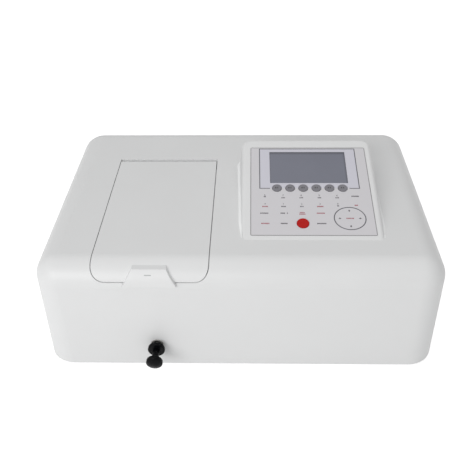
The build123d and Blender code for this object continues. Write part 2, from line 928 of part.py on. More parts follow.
# Pull rod, with detent grooves one cell pitch apart and a stud for the knob
rod_front = front_y - knob_gap
rod_back = carriage_y0 + rod_seat
detent_y = tub_y0 - detent_reach
with BuildPart() as pull_rod:
    with BuildSketch(Plane.XY.offset(rod_z)):
        with BuildLine():
            Polyline(
                (carriage_x, rod_back),
                (carriage_x, rod_front - rod_stud_length),
                (carriage_x + rod_stud_radius, rod_front - rod_stud_length),
                (carriage_x + rod_stud_radius, rod_front),
                (carriage_x + rod_radius, rod_front),
                (carriage_x + rod_radius, rod_back),
                close=True,
            )
        make_face()
        for i in range(cell_count):
            with Locations((carriage_x + rod_radius, detent_y + i * cell_pitch)):
                Rectangle(groove_depth, groove_depth, rotation=45, mode=Mode.SUBTRACT)
    revolve(axis=Axis((carriage_x, 0, rod_z), (0, 1, 0)))
save(pull_rod, "pull_rod")

# Pull knob: a turned spool with a domed front flange
knob_y = front_y - knob_gap
knob_front_y = knob_y - knob_length
neck_y0 = knob_y - knob_rear_thickness
neck_y1 = neck_y0 - knob_neck_length
dome_curve = (knob_front_radius**2 + knob_dome**2) / (2 * knob_dome)
with BuildPart() as pull_knob:
    with BuildSketch(Plane.XY.offset(rod_z)) as knob_profile:
        with BuildLine():
            Polyline(
                (carriage_x, knob_front_y),
                (carriage_x, knob_y - rod_stud_length),
                (carriage_x + rod_stud_radius, knob_y - rod_stud_length),
                (carriage_x + rod_stud_radius, knob_y),
                (carriage_x + knob_rear_radius, knob_y),
                (carriage_x + knob_rear_radius, neck_y0),
                (carriage_x + knob_neck_radius, neck_y0),
                (carriage_x + knob_neck_radius, neck_y1),
                (carriage_x + knob_front_radius, neck_y1),
                (carriage_x + knob_front_radius, knob_front_y + knob_dome),
            )
            RadiusArc(
                (carriage_x + knob_front_radius, knob_front_y + knob_dome),
                (carriage_x, knob_front_y),
                dome_curve,
            )
        make_face()
        rims = knob_profile.vertices().filter_by(lambda v: v.X > carriage_x + knob_neck_radius + 1)
        fillet(rims.filter_by(lambda v: v.Y > knob_front_y + knob_dome), knob_round)
    revolve(axis=Axis((carriage_x, 0, rod_z), (0, 1, 0)))
save(pull_knob, "pull_knob")

# Bush for the rod: flanged sleeve in the cover's front wall, with a nut behind it
bush_y0 = front_y - bush_flange / 2
nut_y0 = front_y + wall + (rod_z + bush_nut_radius - cover_bottom) * tan(radians(draft)) + fit_gap / 2
with BuildPart() as rod_bush:
    with BuildSketch(Plane.XZ.offset(-bush_y0)):
        with Locations((carriage_x, rod_z)):
            Circle(bush_flange_radius)
    extrude(amount=-bush_flange)
    with BuildSketch(Plane.XZ.offset(-bush_y0)):
        with Locations((carriage_x, rod_z)):
            Circle(bush_radius)
    extrude(amount=-(nut_y0 - bush_y0 + bush_nut + bush_flange))
    with BuildSketch(Plane.XZ.offset(-nut_y0)):
        with Locations((carriage_x, rod_z)):
            RegularPolygon(bush_nut_radius, 6)
    extrude(amount=-bush_nut)
    with BuildSketch(Plane.XZ.offset(-bush_y0)):
        with Locations((carriage_x, rod_z)):
            Circle(rod_radius + running_gap)
    extrude(amount=-(nut_y0 - bush_y0 + bush_nut + bush_flange), mode=Mode.SUBTRACT)
save(rod_bush, "rod_bush")

# Detent spring: a leaf screwed to the tub's front wall, its nose riding over the rod's grooves
nose_z = rod_z + rod_radius + running_gap
with BuildPart() as detent_spring:
    with BuildSketch(Plane.YZ.offset(carriage_x - detent_width / 2)):
        with BuildLine():
            leaf_z = nose_z + detent_rise
            Polyline(
                (tub_y0, leaf_z + detent_back),
                (tub_y0, leaf_z),
                (detent_y + detent_rise, leaf_z),
                (detent_y, nose_z),
                (detent_y - detent_rise, leaf_z),
                (detent_y - detent_rise, leaf_z + spring_thickness),
                (detent_y, nose_z + 2 * spring_thickness),
                (detent_y + detent_rise, leaf_z + spring_thickness),
                (tub_y0 - spring_thickness, leaf_z + spring_thickness),
                (tub_y0 - spring_thickness, leaf_z + detent_back),
                close=True,
            )
        make_face()
    extrude(amount=detent_width)
save(detent_spring, "detent_spring")

# Optical bench: one casting on bosses, with a lug for the filter motor and a tongue for the lamp house
bench_x0 = tub_x0 - detector_length - bench_margin
bench_x1 = mono_x1 + bench_margin
bench_y0 = tub_y0 - bench_margin
bench_y1 = mono_y1 + bench_margin
lamp_x0 = entrance_x - lamp_house_width / 2
lamp_x1 = entrance_x + lamp_house_width / 2
wheel_x = entrance_x - wheel_offset
bench_bosses = [
    (bench_x0 + bench_boss_inset, bench_y0 + bench_boss_inset),
    (bench_x0 + bench_boss_inset, bench_y1 - bench_boss_inset),
    (bench_x1 - bench_boss_inset, bench_y0 + bench_boss_inset),
    (bench_x1 - bench_boss_inset, bench_y1 - bench_boss_inset),
    (tub_x1 - bench_boss_inset, bench_y0 + bench_boss_inset),
    (entrance_x, lamp_y1 - bench_boss_inset),
]
with BuildPart() as optical_bench:
    with BuildSketch(Plane.XY.offset(bench_z)):
        with BuildLine():
            FilletPolyline(
                (bench_x0, bench_y0), (bench_x1, bench_y0), (bench_x1, bench_y1),
                (lamp_x1 + bench_rim, bench_y1), (lamp_x1 + bench_rim, lamp_y1 + bench_rim),
                (lamp_x0 - bench_rim, lamp_y1 + bench_rim), (lamp_x0 - bench_rim, bench_y1),
                (bench_x0, bench_y1),
                radius=bench_corner, close=True,
            )
        make_face()
    extrude(amount=bench_thickness)
    with BuildSketch(Plane.XY.offset(base_top)):
        with Locations(bench_bosses):
            Circle(bench_boss_radius)
    extrude(amount=bench_z - base_top)
    add(
        box_at(
            wheel_x - motor_size / 2, wheel_x + motor_size / 2, lug_y, lug_y + lug_thickness,
            bench_top, beam_z + motor_size / 2,
        )
    )
    with BuildSketch(Plane.XZ.offset(-lug_y)):
        with Locations((wheel_x, beam_z)):
            Circle(shaft_radius + fit_gap)
    extrude(amount=-lug_thickness, mode=Mode.SUBTRACT)
save(optical_bench, "optical_bench")

# Detector housing: a cast box open to the left, where the detector board closes it
detector_x0 = tub_x0 - detector_length
with BuildPart() as detector_housing:
    add(
        box_at(
            detector_x0, tub_x0, beam_y - detector_depth / 2, beam_y + detector_depth / 2,
            bench_top, bench_top + detector_height,
        )
    )
    fillet(detector_housing.edges().filter_by(Axis.X), housing_wall)
    add(
        box_at(
            detector_x0 - housing_wall, tub_x0 - housing_wall,
            beam_y - detector_depth / 2 + housing_wall, beam_y + detector_depth / 2 - housing_wall,
            bench_top + housing_wall, bench_top + detector_height - housing_wall,
        ),
        mode=Mode.SUBTRACT,
    )
    with BuildSketch(Plane.YZ.offset(tub_x0)):
        with Locations((beam_y, beam_z)):
            Circle(beam_hole)
    extrude(amount=-2 * housing_wall, mode=Mode.SUBTRACT)
save(detector_housing, "detector_housing")

# Detector board and the photodiode on it
with BuildPart() as detector_board:
    add(
        box_at(
            detector_x0 - board_thickness, detector_x0,
            beam_y - detector_depth / 2 + housing_wall / 2, beam_y + detector_depth / 2 - housing_wall / 2,
            bench_top + housing_wall / 2, bench_top + detector_height - housing_wall / 2,
        )
    )
    add(
        box_at(
            detector_x0 - board_thickness - chip_height, detector_x0 - board_thickness,
            beam_y - chip_size / 2, beam_y + chip_size / 2, beam_z - chip_size / 2, beam_z + chip_size / 2,
        )
    )
save(detector_board, "detector_board")

with BuildPart() as photodiode:
    with BuildSketch(Plane.YZ.offset(detector_x0)):
        with Locations((beam_y, beam_z)):
            Circle(diode_radius + diode_rim)
    extrude(amount=diode_rim)
    with BuildSketch(Plane.YZ.offset(detector_x0)):
        with Locations((beam_y, beam_z)):
            Circle(diode_radius)
    extrude(amount=diode_height)
save(photodiode, "photodiode")

# Monochromator housing: cast box with the slit holes, the pivot post and the plunger's hole
plunger_x = pivot_x + arm_length
with BuildPart() as monochromator_housing:
    add(box_at(mono_x0, mono_x1, mono_y0, mono_y1, bench_top, mono_top))
    fillet(monochromator_housing.edges().filter_by(Axis.Z), mono_wall)
    add(
        box_at(
            mono_x0 + mono_wall, mono_x1 - mono_wall, mono_y0 + mono_wall, mono_y1 - mono_wall,
            mono_floor, mono_top + mono_wall,
        ),
        mode=Mode.SUBTRACT,
    )
    with BuildSketch(Plane.XY.offset(mono_floor)):
        with Locations((pivot_x, pivot_y)):
            Circle(pivot_radius + pivot_step)
    extrude(amount=table_low - mono_floor - running_gap)
    with BuildSketch(Plane.XY.offset(mono_floor)):
        with Locations((pivot_x, pivot_y)):
            Circle(pivot_radius)
    extrude(amount=table_high - mono_floor)
    with BuildSketch(Plane.YZ.offset(mono_x0)):
        with Locations((beam_y, beam_z)):
            Circle(beam_hole)
    extrude(amount=mono_wall, mode=Mode.SUBTRACT)
    with BuildSketch(Plane.XZ.offset(-mono_y1)):
        with Locations((entrance_x, beam_z)):
            Circle(beam_hole)
        with Locations((plunger_x, arm_z)):
            Circle(plunger_radius + running_gap)
    extrude(amount=mono_wall, mode=Mode.SUBTRACT)
save(monochromator_housing, "monochromator_housing")

with BuildPart() as monochromator_cover:
    add(box_at(mono_x0, mono_x1, mono_y0, mono_y1, mono_top, mono_top + mono_cover))
    fillet(monochromator_cover.edges().filter_by(Axis.Z), mono_wall)
    add(
        box_at(
            mono_x0 + mono_wall + fit_gap, mono_x1 - mono_wall - fit_gap,
            mono_y0 + mono_wall + fit_gap, mono_y1 - mono_wall - fit_gap,
            mono_top - mono_cover, mono_top,
        )
    )
save(monochromator_cover, "monochromator_cover")

# Slit plates on the inside of the housing's left and rear walls
with BuildPart() as slit_plates:
    with BuildSketch(Plane.YZ.offset(mono_x0 + mono_wall)):
        with Locations((beam_y, beam_z)):
            Rectangle(slit_length, slit_length)
            Rectangle(slit_width, slit_height, mode=Mode.SUBTRACT)
    extrude(amount=slit_plate)
    with BuildSketch(Plane.XZ.offset(-(mono_y1 - mono_wall))):
        with Locations((entrance_x, beam_z)):
            Rectangle(slit_length, slit_length)
            Rectangle(slit_width, slit_height, mode=Mode.SUBTRACT)
    extrude(amount=slit_plate)
save(slit_plates, "slit_plates")


# Mirrors: each faces midway between the two points that its light comes from and goes to

def facing_plane(place, source, target):
    """A vertical plane at place whose normal halves the angle between source and target."""
    here = Vector(place[0], place[1], beam_z)
    to_source = (Vector(source[0], source[1], beam_z) - here).normalized()
    to_target = (Vector(target[0], target[1], beam_z) - here).normalized()
    normal = (to_source + to_target).normalized()
    return Plane(origin=here, x_dir=(-normal.Y, normal.X, 0), z_dir=normal)


pivot = (pivot_x, pivot_y)
first_mirror = (entrance_x - mirror_shift, mono_y0 + mirror_stand)
second_mirror = (mono_x1 - mirror_stand, beam_y)
mirror_planes = [
    facing_plane(first_mirror, (entrance_x, mono_y1), pivot),
    facing_plane(second_mirror, pivot, (mono_x0, beam_y)),
]
with BuildPart() as mirror_blank:
    with BuildSketch(Plane.XZ):
        with BuildLine():
            sag = mirror_curve - (mirror_curve**2 - mirror_radius**2) ** 0.5
            Polyline((0, 0), (0, -mirror_thickness), (mirror_radius, -mirror_thickness), (mirror_radius, sag))
            RadiusArc((mirror_radius, sag), (0, 0), mirror_curve)
        make_face()
    revolve(axis=Axis.Z)
with BuildPart() as concave_mirrors:
    for plane in mirror_planes:
        add(plane.location * mirror_blank.part)
save(concave_mirrors, "concave_mirrors")

with BuildPart() as mirror_mounts:
    for plane in mirror_planes:
        back = plane.offset(-mirror_thickness)
        drop = beam_z - mono_floor
        with BuildSketch(back):
            with Locations((0, (mirror_radius - drop) / 2)):
                Rectangle(2 * mirror_radius, mirror_radius + drop)
        extrude(amount=-mount_thickness)
        with BuildSketch(back):
            with Locations((0, mount_thickness / 2 - drop)):
                Rectangle(2 * mirror_radius, mount_thickness)
        extrude(amount=mount_foot)
save(mirror_mounts, "mirror_mounts")

# Grating table: hub on the pivot post, disc, back plate for the grating and the sine arm with its ball
grating_plane = facing_plane(pivot, first_mirror, second_mirror)
with BuildPart() as grating_table:
    with BuildSketch(Plane.XY.offset(table_low)):
        with Locations(pivot):
            Circle(2 * pivot_radius)
    extrude(amount=table_high - table_low)
    with BuildSketch(Plane.XY.offset(table_high)):
        with Locations(pivot):
            Circle(table_radius)
    extrude(amount=table_thickness)
    with BuildSketch(Plane.XY.offset(arm_z - arm_height / 2)):
        with Locations((pivot_x + arm_length / 2, pivot_y)):
            Rectangle(arm_length, arm_thickness)
        with Locations((plunger_x, pivot_y)):
            Circle(arm_ball)
    extrude(amount=arm_height)
    with BuildSketch(grating_plane.offset(-grating_thickness)):
        with Locations((0, (table_high + table_thickness - beam_z + grating_size / 2) / 2)):
            Rectangle(grating_size, beam_z + grating_size / 2 - table_high - table_thickness)
    extrude(amount=-mount_thickness)
    with BuildSketch(Plane.XY.offset(table_low)):
        with Locations(pivot):
            Circle(pivot_radius + running_gap)
    extrude(amount=table_high - table_low + running_gap, mode=Mode.SUBTRACT)
save(grating_table, "grating_table")

with BuildPart() as grating:
    with BuildSketch(grating_plane.offset(-grating_thickness)):
        with Locations((0, grating_lift / 2)):
            Rectangle(grating_size, grating_size - grating_lift)
    extrude(amount=grating_thickness)
save(grating, "grating")

# Plunger: the actuator's rod, with a pad that pushes the arm's ball
plunger_tip = pivot_y + arm_ball + running_gap
plunger_end = motor_y1 - plunger_inset
with BuildPart() as plunger:
    with BuildSketch(Plane.XZ.offset(-plunger_tip)):
        with Locations((plunger_x - plunger_pad_shift, arm_z)):
            SlotOverall(plunger_pad_length, plunger_pad)
    extrude(amount=-plunger_pad_thickness)
    with BuildSketch(Plane.XZ.offset(-plunger_tip)):
        with Locations((plunger_x, arm_z)):
            Circle(plunger_radius)
    extrude(amount=-(plunger_end - plunger_tip))
save(plunger, "plunger")

# Stepper motors: the filter wheel's on its lug, and the linear actuator on the housing's rear wall
with BuildPart() as filter_motor:
    add(
        box_at(
            wheel_x - motor_size / 2, wheel_x + motor_size / 2,
            lug_y + lug_thickness, motor_y1, beam_z - motor_size / 2, beam_z + motor_size / 2,
        )
    )
    chamfer(filter_motor.edges().filter_by(Axis.Y), motor_chamfer)
    with BuildSketch(Plane.XZ.offset(-(lug_y + lug_thickness))):
        with Locations((wheel_x, beam_z)):
            Circle(shaft_radius + running_gap)
    extrude(amount=-shaft_depth, mode=Mode.SUBTRACT)
save(filter_motor, "filter_motor")

with BuildPart() as linear_actuator:
    add(
        box_at(
            plunger_x - motor_size / 2, plunger_x + motor_size / 2,
            mono_y1, mono_y1 + actuator_depth, arm_z - motor_size / 2, arm_z + motor_size / 2,
        )
    )
    chamfer(linear_actuator.edges().filter_by(Axis.Y), motor_chamfer)
    with BuildSketch(Plane.XZ.offset(-mono_y1)):
        with Locations((plunger_x, arm_z)):
            Circle(plunger_radius + running_gap)
    extrude(amount=-actuator_depth, mode=Mode.SUBTRACT)
save(linear_actuator, "linear_actuator")

# Filter wheel on its shaft, with one round hole for each filter
wheel_y = mono_y1 + wheel_gap
with BuildPart() as filter_wheel:
    with BuildSketch(Plane.XZ.offset(-wheel_y)):
        with Locations((wheel_x, beam_z)):
            Circle(wheel_radius)
            with PolarLocations(wheel_offset, filter_count):
                Circle(filter_radius, mode=Mode.SUBTRACT)
    extrude(amount=-wheel_thickness)
    with BuildSketch(Plane.XZ.offset(-wheel_y)):
        with Locations((wheel_x, beam_z)):
            Circle(2 * shaft_radius)
    extrude(amount=-(wheel_thickness + shaft_radius / 2))
    with BuildSketch(Plane.XZ.offset(-wheel_y)):
        with Locations((wheel_x, beam_z)):
            Circle(shaft_radius)
    extrude(amount=-(lug_y + lug_thickness + shaft_depth / 2 - wheel_y))
save(filter_wheel, "filter_wheel")

# Lamp house: bent sheet box open at the rear for the fan's air, with the lamp in its socket
with BuildPart() as lamp_house:
    add(box_at(lamp_x0, lamp_x1, lamp_y0, lamp_y1, bench_top, bench_top + lamp_house_height))
    add(
        box_at(
            lamp_x0 + lamp_sheet, lamp_x1 - lamp_sheet, lamp_y0 + lamp_sheet, lamp_y1 + lamp_sheet,
            bench_top + lamp_sheet, bench_top + lamp_house_height - lamp_sheet,
        ),
        mode=Mode.SUBTRACT,
    )
    with BuildSketch(Plane.XZ.offset(-lamp_y0)):
        with Locations((entrance_x, beam_z)):
            Circle(beam_hole)
    extrude(amount=-lamp_sheet, mode=Mode.SUBTRACT)
    with BuildSketch(Plane.XY.offset(bench_top + lamp_house_height)):
        with Locations((entrance_x, lamp_y)):
            with GridLocations(vent_pitch, 0, vent_count, 1):
                SlotOverall(vent_length / 2, vent_width, rotation=90)
    extrude(amount=-lamp_sheet, mode=Mode.SUBTRACT)
save(lamp_house, "lamp_house")

lamp_floor = bench_top + lamp_sheet
with BuildPart() as lamp_socket:
    with BuildSketch(Plane.XY.offset(lamp_floor)):
        with Locations((entrance_x, lamp_y)):
            Circle(socket_radius)
            with GridLocations(lamp_pins, 0, 2, 1):
                Circle(lamp_pin_radius, mode=Mode.SUBTRACT)
    extrude(amount=socket_height)
save(lamp_socket, "lamp_socket")

lamp_z = lamp_floor + socket_height
with BuildPart() as halogen_lamp:
    with BuildSketch(Plane.XY.offset(lamp_z)):
        with Locations((entrance_x, lamp_y)):
            Circle(lamp_radius)
    extrude(amount=lamp_height)
    fillet(halogen_lamp.faces().sort_by(Axis.Z)[-1].edges(), lamp_radius * 0.8)
    with BuildSketch(Plane.XY.offset(lamp_z)):
        with Locations((entrance_x, lamp_y)):
            with GridLocations(lamp_pins, 0, 2, 1):
                Circle(lamp_pin_radius)
    extrude(amount=-socket_height / 2)
save(halogen_lamp, "halogen_lamp")

# Standoffs and boards on the base plate
main_x0 = -post_x + post_radius + board_margin / 3
main_x1 = lamp_x0 - board_margin
main_y0 = tub_y1 + tub_rear_flange + main_gap
main_y1 = panel_y0 - main_gap / 3
power_x0 = mono_x1 + bench_margin + board_margin / 2
power_x1 = right_x - board_margin
main_standoffs = [
    (x, y)
    for x in (main_x0 + standoff_inset, main_x1 - standoff_inset)
    for y in (main_y0 + standoff_inset, panel_y1 - rear_flange - 2 * standoff_radius)
]
power_standoffs = [
    (x, y)
    for x in (power_x0 + standoff_inset, power_x1 - standoff_inset)
    for y in (power_y - power_length / 2 + standoff_inset, power_y + power_length / 2 - standoff_inset)
]
with BuildPart() as standoffs:
    with BuildSketch(Plane.XY.offset(base_top)):
        with Locations(main_standoffs + power_standoffs):
            Circle(standoff_radius)
    extrude(amount=board_z - base_top)
save(standoffs, "standoffs")

with BuildPart() as main_board:
    add(box_at(main_x0, main_x1, main_y0, main_y1, board_z, board_top))
    chip_y = (main_y0 + main_y1) / 2
    with BuildSketch(Plane.XY.offset(board_top)):
        with Locations([(main_x0 + chip_row * (i + 1), chip_y) for i in range(chip_count)]):
            Rectangle(chip_size, chip_size)
    extrude(amount=chip_height)
    with BuildSketch(Plane.XY.offset(board_top)):
        with Locations([(main_x0 + chip_row * (i + 1), chip_y - chip_row / 2) for i in range(chip_count)]):
            Rectangle(chip_size * 1.4, chip_size / 3)
    extrude(amount=2 * chip_height)
save(main_board, "main_board")

with BuildPart() as power_board:
    y0 = power_y - power_length / 2
    add(box_at(power_x0, power_x1, y0, y0 + power_length, board_z, board_top))
    with BuildSketch(Plane.XY.offset(board_top)):
        with Locations((power_x0 + capacitor_radius + 4, power_y)):
            with GridLocations(0, 2.4 * capacitor_radius, 1, 3):
                Circle(capacitor_radius)
    extrude(amount=capacitor_height)
    with BuildSketch(Plane.XY.offset(board_top)):
        with Locations((power_x1 - fin_length / 2 - 4, power_y)):
            with GridLocations(0, fin_pitch, 1, fin_count):
                Rectangle(fin_length, fin_thickness)
            Rectangle(fin_thickness * 2, fin_pitch * (fin_count - 1) + fin_thickness)
    extrude(amount=capacitor_height)
save(power_board, "power_board")

# Transformer: laminated core with its winding, standing on the base plate
with BuildPart() as transformer:
    with Locations((transformer_x, transformer_y, base_top + transformer_height / 2)):
        Box(transformer_length, transformer_depth / 2, transformer_height)
        Box(transformer_length * 0.6, transformer_depth, transformer_height * 0.6)
    fillet(
        transformer.edges().filter_by(Axis.X).filter_by(lambda e: e.length < transformer_length * 0.7),
        transformer_round,
    )
    with Locations((transformer_x, transformer_y, base_top + sheet / 2)):
        Box(transformer_length + 2 * transformer_ear, transformer_depth / 2, sheet)
save(transformer, "transformer")

# Key panel film, with its window and key holes
with BuildPart() as keypad_film:
    with BuildSketch(console_plane.offset(-film_recess)):
        with Locations((0, panel_start + panel_length / 2)):
            RectangleRounded(
                panel_width - 2 * film_clearance, panel_length - 2 * film_clearance,
                panel_corner - film_clearance,
            )
        with Locations(screen_place):
            Rectangle(
                screen_width + 2 * screen_clearance, screen_height + 2 * screen_clearance,
                mode=Mode.SUBTRACT,
            )
        with Locations(key_places):
            Circle(key_radius + key_clearance, mode=Mode.SUBTRACT)
        with Locations(red_key_place):
            Circle(red_key_radius + key_clearance, mode=Mode.SUBTRACT)
    extrude(amount=film_thickness)
save(keypad_film, "keypad_film")

# Screen window: clear plate in the console's opening, with a flange behind the wall
with BuildPart() as screen_window:
    with BuildSketch(console_plane.offset(-wall - window_flange - fit_gap / 3)):
        with Locations(screen_place):
            Rectangle(screen_width + 2 * window_lap, screen_height + 2 * window_lap)
    extrude(amount=window_flange)
    with BuildSketch(console_plane.offset(-wall - fit_gap / 3)):
        with Locations(screen_place):
            Rectangle(screen_width, screen_height)
    extrude(amount=wall + fit_gap / 3 - screen_sink)
save(screen_window, "screen_window")


# Keys: a round cap, a stem through the wall and two lugs behind it

def key_solid(place, radius):
    """One key at a place on the console plane, its cap proud of the film."""
    with BuildPart() as key:
        with BuildSketch(console_plane.offset(-wall - running_gap - key_lug_thickness)):
            with Locations(place):
                Circle(radius)
        extrude(amount=wall + running_gap + key_lug_thickness + key_proud)
        top = key.faces().sort_by(Axis(console_plane.origin, console_plane.z_dir))[-1]
        fillet(top.edges(), key_round)
        with BuildSketch(console_plane.offset(-wall - running_gap - key_lug_thickness)):
            with Locations(place):
                Rectangle(2 * (radius + key_lug), key_lug_height)
        extrude(amount=key_lug_thickness)
    return key


for i, place in enumerate(key_places):
    save(key_solid(place, key_radius), f"soft_key_{i + 1}")
save(key_solid(red_key_place, red_key_radius), "red_key")

# Keypad board on the console's bosses, and the display module behind its window
with BuildPart() as keypad_board:
    with BuildSketch(console_plane.offset(-board_drop)):
        with Locations((0, panel_start + panel_length / 2)):
            RectangleRounded(
                panel_width - 2 * keypad_board_inset, panel_length - 2 * keypad_board_inset, panel_corner
            )
        with Locations(screen_place):
            Rectangle(
                screen_width + 2 * screen_clearance, screen_height + 2 * screen_clearance,
                mode=Mode.SUBTRACT,
            )
    extrude(amount=-board_thickness)
save(keypad_board, "keypad_board")

display_top = board_drop + board_thickness
with BuildPart() as display_module:
    with BuildSketch(console_plane.offset(-display_top)):
        with Locations(screen_place):
            RectangleRounded(screen_width + 2 * display_border, screen_height + 2 * display_border, panel_corner)
    extrude(amount=-display_thickness)
    with BuildSketch(console_plane.offset(-display_top)):
        with Locations(screen_place):
            Rectangle(screen_width, screen_height)
    extrude(amount=-display_sink, mode=Mode.SUBTRACT)
save(display_module, "display_module")

# Mains inlet with fuse drawer and pins
inlet_front = panel_y1 + inlet_flange
socket_z = inlet_z + inlet_height / 2 - inlet_socket_height / 2 - inlet_rim
drawer_z = inlet_z - inlet_height / 2 + drawer_height / 2 + inlet_rim
with BuildPart() as mains_inlet:
    add(
        box_at(
            inlet_x - inlet_width / 2, inlet_x + inlet_width / 2, panel_y0 - inlet_depth, panel_y1,
            inlet_z - inlet_height / 2, inlet_z + inlet_height / 2,
        )
    )
    add(
        box_at(
            inlet_x - inlet_width / 2 - inlet_rim, inlet_x + inlet_width / 2 + inlet_rim,
            panel_y1, inlet_front,
            inlet_z - inlet_height / 2 - inlet_rim, inlet_z + inlet_height / 2 + inlet_rim,
        )
    )
    with BuildSketch(Plane.XZ.offset(-inlet_front)):
        with Locations((inlet_x, socket_z)):
            Rectangle(inlet_socket_width, inlet_socket_height)
        with Locations((inlet_x, drawer_z)):
            Rectangle(inlet_socket_width, drawer_height)
    extrude(amount=inlet_socket_depth, mode=Mode.SUBTRACT)
save(mains_inlet, "mains_inlet")

with BuildPart() as inlet_pins:
    with BuildSketch(Plane.XZ.offset(-(inlet_front - inlet_socket_depth))):
        with Locations((inlet_x, socket_z)):
            with Locations((-pin_spacing, -pin_rise), (0, pin_rise), (pin_spacing, -pin_rise)):
                Rectangle(pin_width, pin_length)
    extrude(amount=-(inlet_socket_depth - pin_recess))
save(inlet_pins, "inlet_pins")

with BuildPart() as fuse_drawer:
    with BuildSketch(Plane.XZ.offset(-inlet_front)):
        with Locations((inlet_x, drawer_z)):
            Rectangle(inlet_socket_width - 2 * fit_gap, drawer_height - 2 * fit_gap)
    extrude(amount=inlet_socket_depth - fit_gap)
    with BuildSketch(Plane.XZ.offset(-inlet_front)):
        with Locations((inlet_x, drawer_z)):
            Rectangle(drawer_lip, drawer_height / 2)
    extrude(amount=-drawer_lip_thickness)
save(fuse_drawer, "fuse_drawer")

# Rocker switch: a bezel body with the rocker turning in it
rocker_y = panel_y1 - rocker_sink
with BuildPart() as switch_body:
    add(
        box_at(
            rocker_x - switch_width / 2, rocker_x + switch_width / 2, panel_y0 - switch_depth, panel_y1,
            inlet_z - switch_height / 2, inlet_z + switch_height / 2,
        )
    )
    add(
        box_at(
            rocker_x - switch_width / 2 - inlet_rim / 2, rocker_x + switch_width / 2 + inlet_rim / 2,
            panel_y1, inlet_front,
            inlet_z - switch_height / 2 - inlet_rim / 2, inlet_z + switch_height / 2 + inlet_rim / 2,
        )
    )
    with BuildSketch(Plane.XZ.offset(-inlet_front)):
        with Locations((rocker_x, inlet_z)):
            Rectangle(switch_width - 2 * switch_wall, switch_height - 2 * switch_wall)
    extrude(amount=inlet_front - rocker_y + rocker_depth, mode=Mode.SUBTRACT)
    with BuildSketch(Plane.XY.offset(inlet_z - switch_height / 2 + switch_wall / 2)):
        with Locations((rocker_x, rocker_y)):
            Circle(rocker_pin)
    extrude(amount=switch_height - switch_wall, mode=Mode.SUBTRACT)
save(switch_body, "switch_body")

rocker_half = switch_width / 2 - switch_wall - rocker_play
with BuildPart() as power_rocker:
    tilt = Plane(
        origin=(rocker_x, rocker_y, inlet_z - switch_height / 2 + switch_wall + fit_gap / 2),
        x_dir=(cos(radians(rocker_angle / 2)), sin(radians(rocker_angle / 2)), 0),
        z_dir=(0, 0, 1),
    )
    with BuildSketch(tilt):
        with BuildLine():
            Polyline(
                (-rocker_half, 0), (-rocker_half, rocker_rise), (0, rocker_rise / 2),
                (rocker_half, rocker_rise), (rocker_half, 0),
                (rocker_half / 2, -rocker_belly), (-rocker_half / 2, -rocker_belly),
                close=True,
            )
        make_face()
    extrude(amount=switch_height - 2 * switch_wall - fit_gap)
    with BuildSketch(Plane.XY.offset(inlet_z - switch_height / 2 + switch_wall / 2 + fit_gap / 3)):
        with Locations((rocker_x, rocker_y)):
            Circle(rocker_pin - running_gap)
    extrude(amount=switch_height - switch_wall - fit_gap * 2 / 3)
save(power_rocker, "power_rocker")

# Data sockets on the main board's rear edge
with BuildPart() as data_sockets:
    usb_z = board_top + usb_height / 2
    add(
        box_at(
            usb_x - usb_width / 2, usb_x + usb_width / 2, panel_y1 - usb_depth, panel_y1 + fit_gap,
            board_top, board_top + usb_height,
        )
    )
    chamfer(data_sockets.edges().filter_by(Axis.Y).group_by(Axis.Z)[-1], usb_chamfer)
    with BuildSketch(Plane.XZ.offset(-(panel_y1 + fit_gap))):
        with Locations((usb_x, usb_z - usb_chamfer / 2)):
            Rectangle(usb_width - 2 * usb_wall, usb_height - 2 * usb_wall - usb_chamfer)
            Rectangle(usb_tongue, usb_tongue / 2, mode=Mode.SUBTRACT)
    extrude(amount=usb_depth / 2, mode=Mode.SUBTRACT)
    add(
        box_at(
            serial_x - serial_width / 2, serial_x + serial_width / 2, panel_y1 - usb_depth, panel_y1,
            board_top, board_top + serial_height,
        )
    )
    with BuildSketch(Plane.XZ.offset(-panel_y1)):
        with Locations((serial_x, board_top + serial_height / 2)):
            Trapezoid(serial_shell, serial_shell_height, 80)
            for count, row in ((5, -serial_pitch / 2), (4, serial_pitch / 2)):
                with Locations((0, row)):
                    with GridLocations(serial_pitch, 0, count, 1):
                        Circle(serial_pin, mode=Mode.SUBTRACT)
    extrude(amount=-serial_proud)
save(data_sockets, "data_sockets")

# Fan: square frame with struts, impeller on its spigot, and a wire guard outside the rear panel
with BuildPart() as fan_frame:
    with BuildSketch(Plane.XZ.offset(-fan_y0)):
        with Locations((entrance_x, fan_z)):
            RectangleRounded(fan_size, fan_size, fan_corner)
            Circle(fan_bore, mode=Mode.SUBTRACT)
            with GridLocations(fan_holes, fan_holes, 2, 2):
                Circle(screw_radius, mode=Mode.SUBTRACT)
    extrude(amount=-fan_depth)
    with BuildSketch(Plane.XZ.offset(-(panel_y0 - strut_thickness))):
        with Locations((entrance_x, fan_z)):
            Circle(hub_radius)
            with PolarLocations(fan_bore / 2, strut_count):
                Rectangle(fan_bore + strut_width, strut_width)
    extrude(amount=-strut_thickness)
    with BuildSketch(Plane.XZ.offset(-(panel_y0 - strut_thickness))):
        with Locations((entrance_x, fan_z)):
            Circle(spigot_radius)
    extrude(amount=spigot_length)
save(fan_frame, "fan_frame")

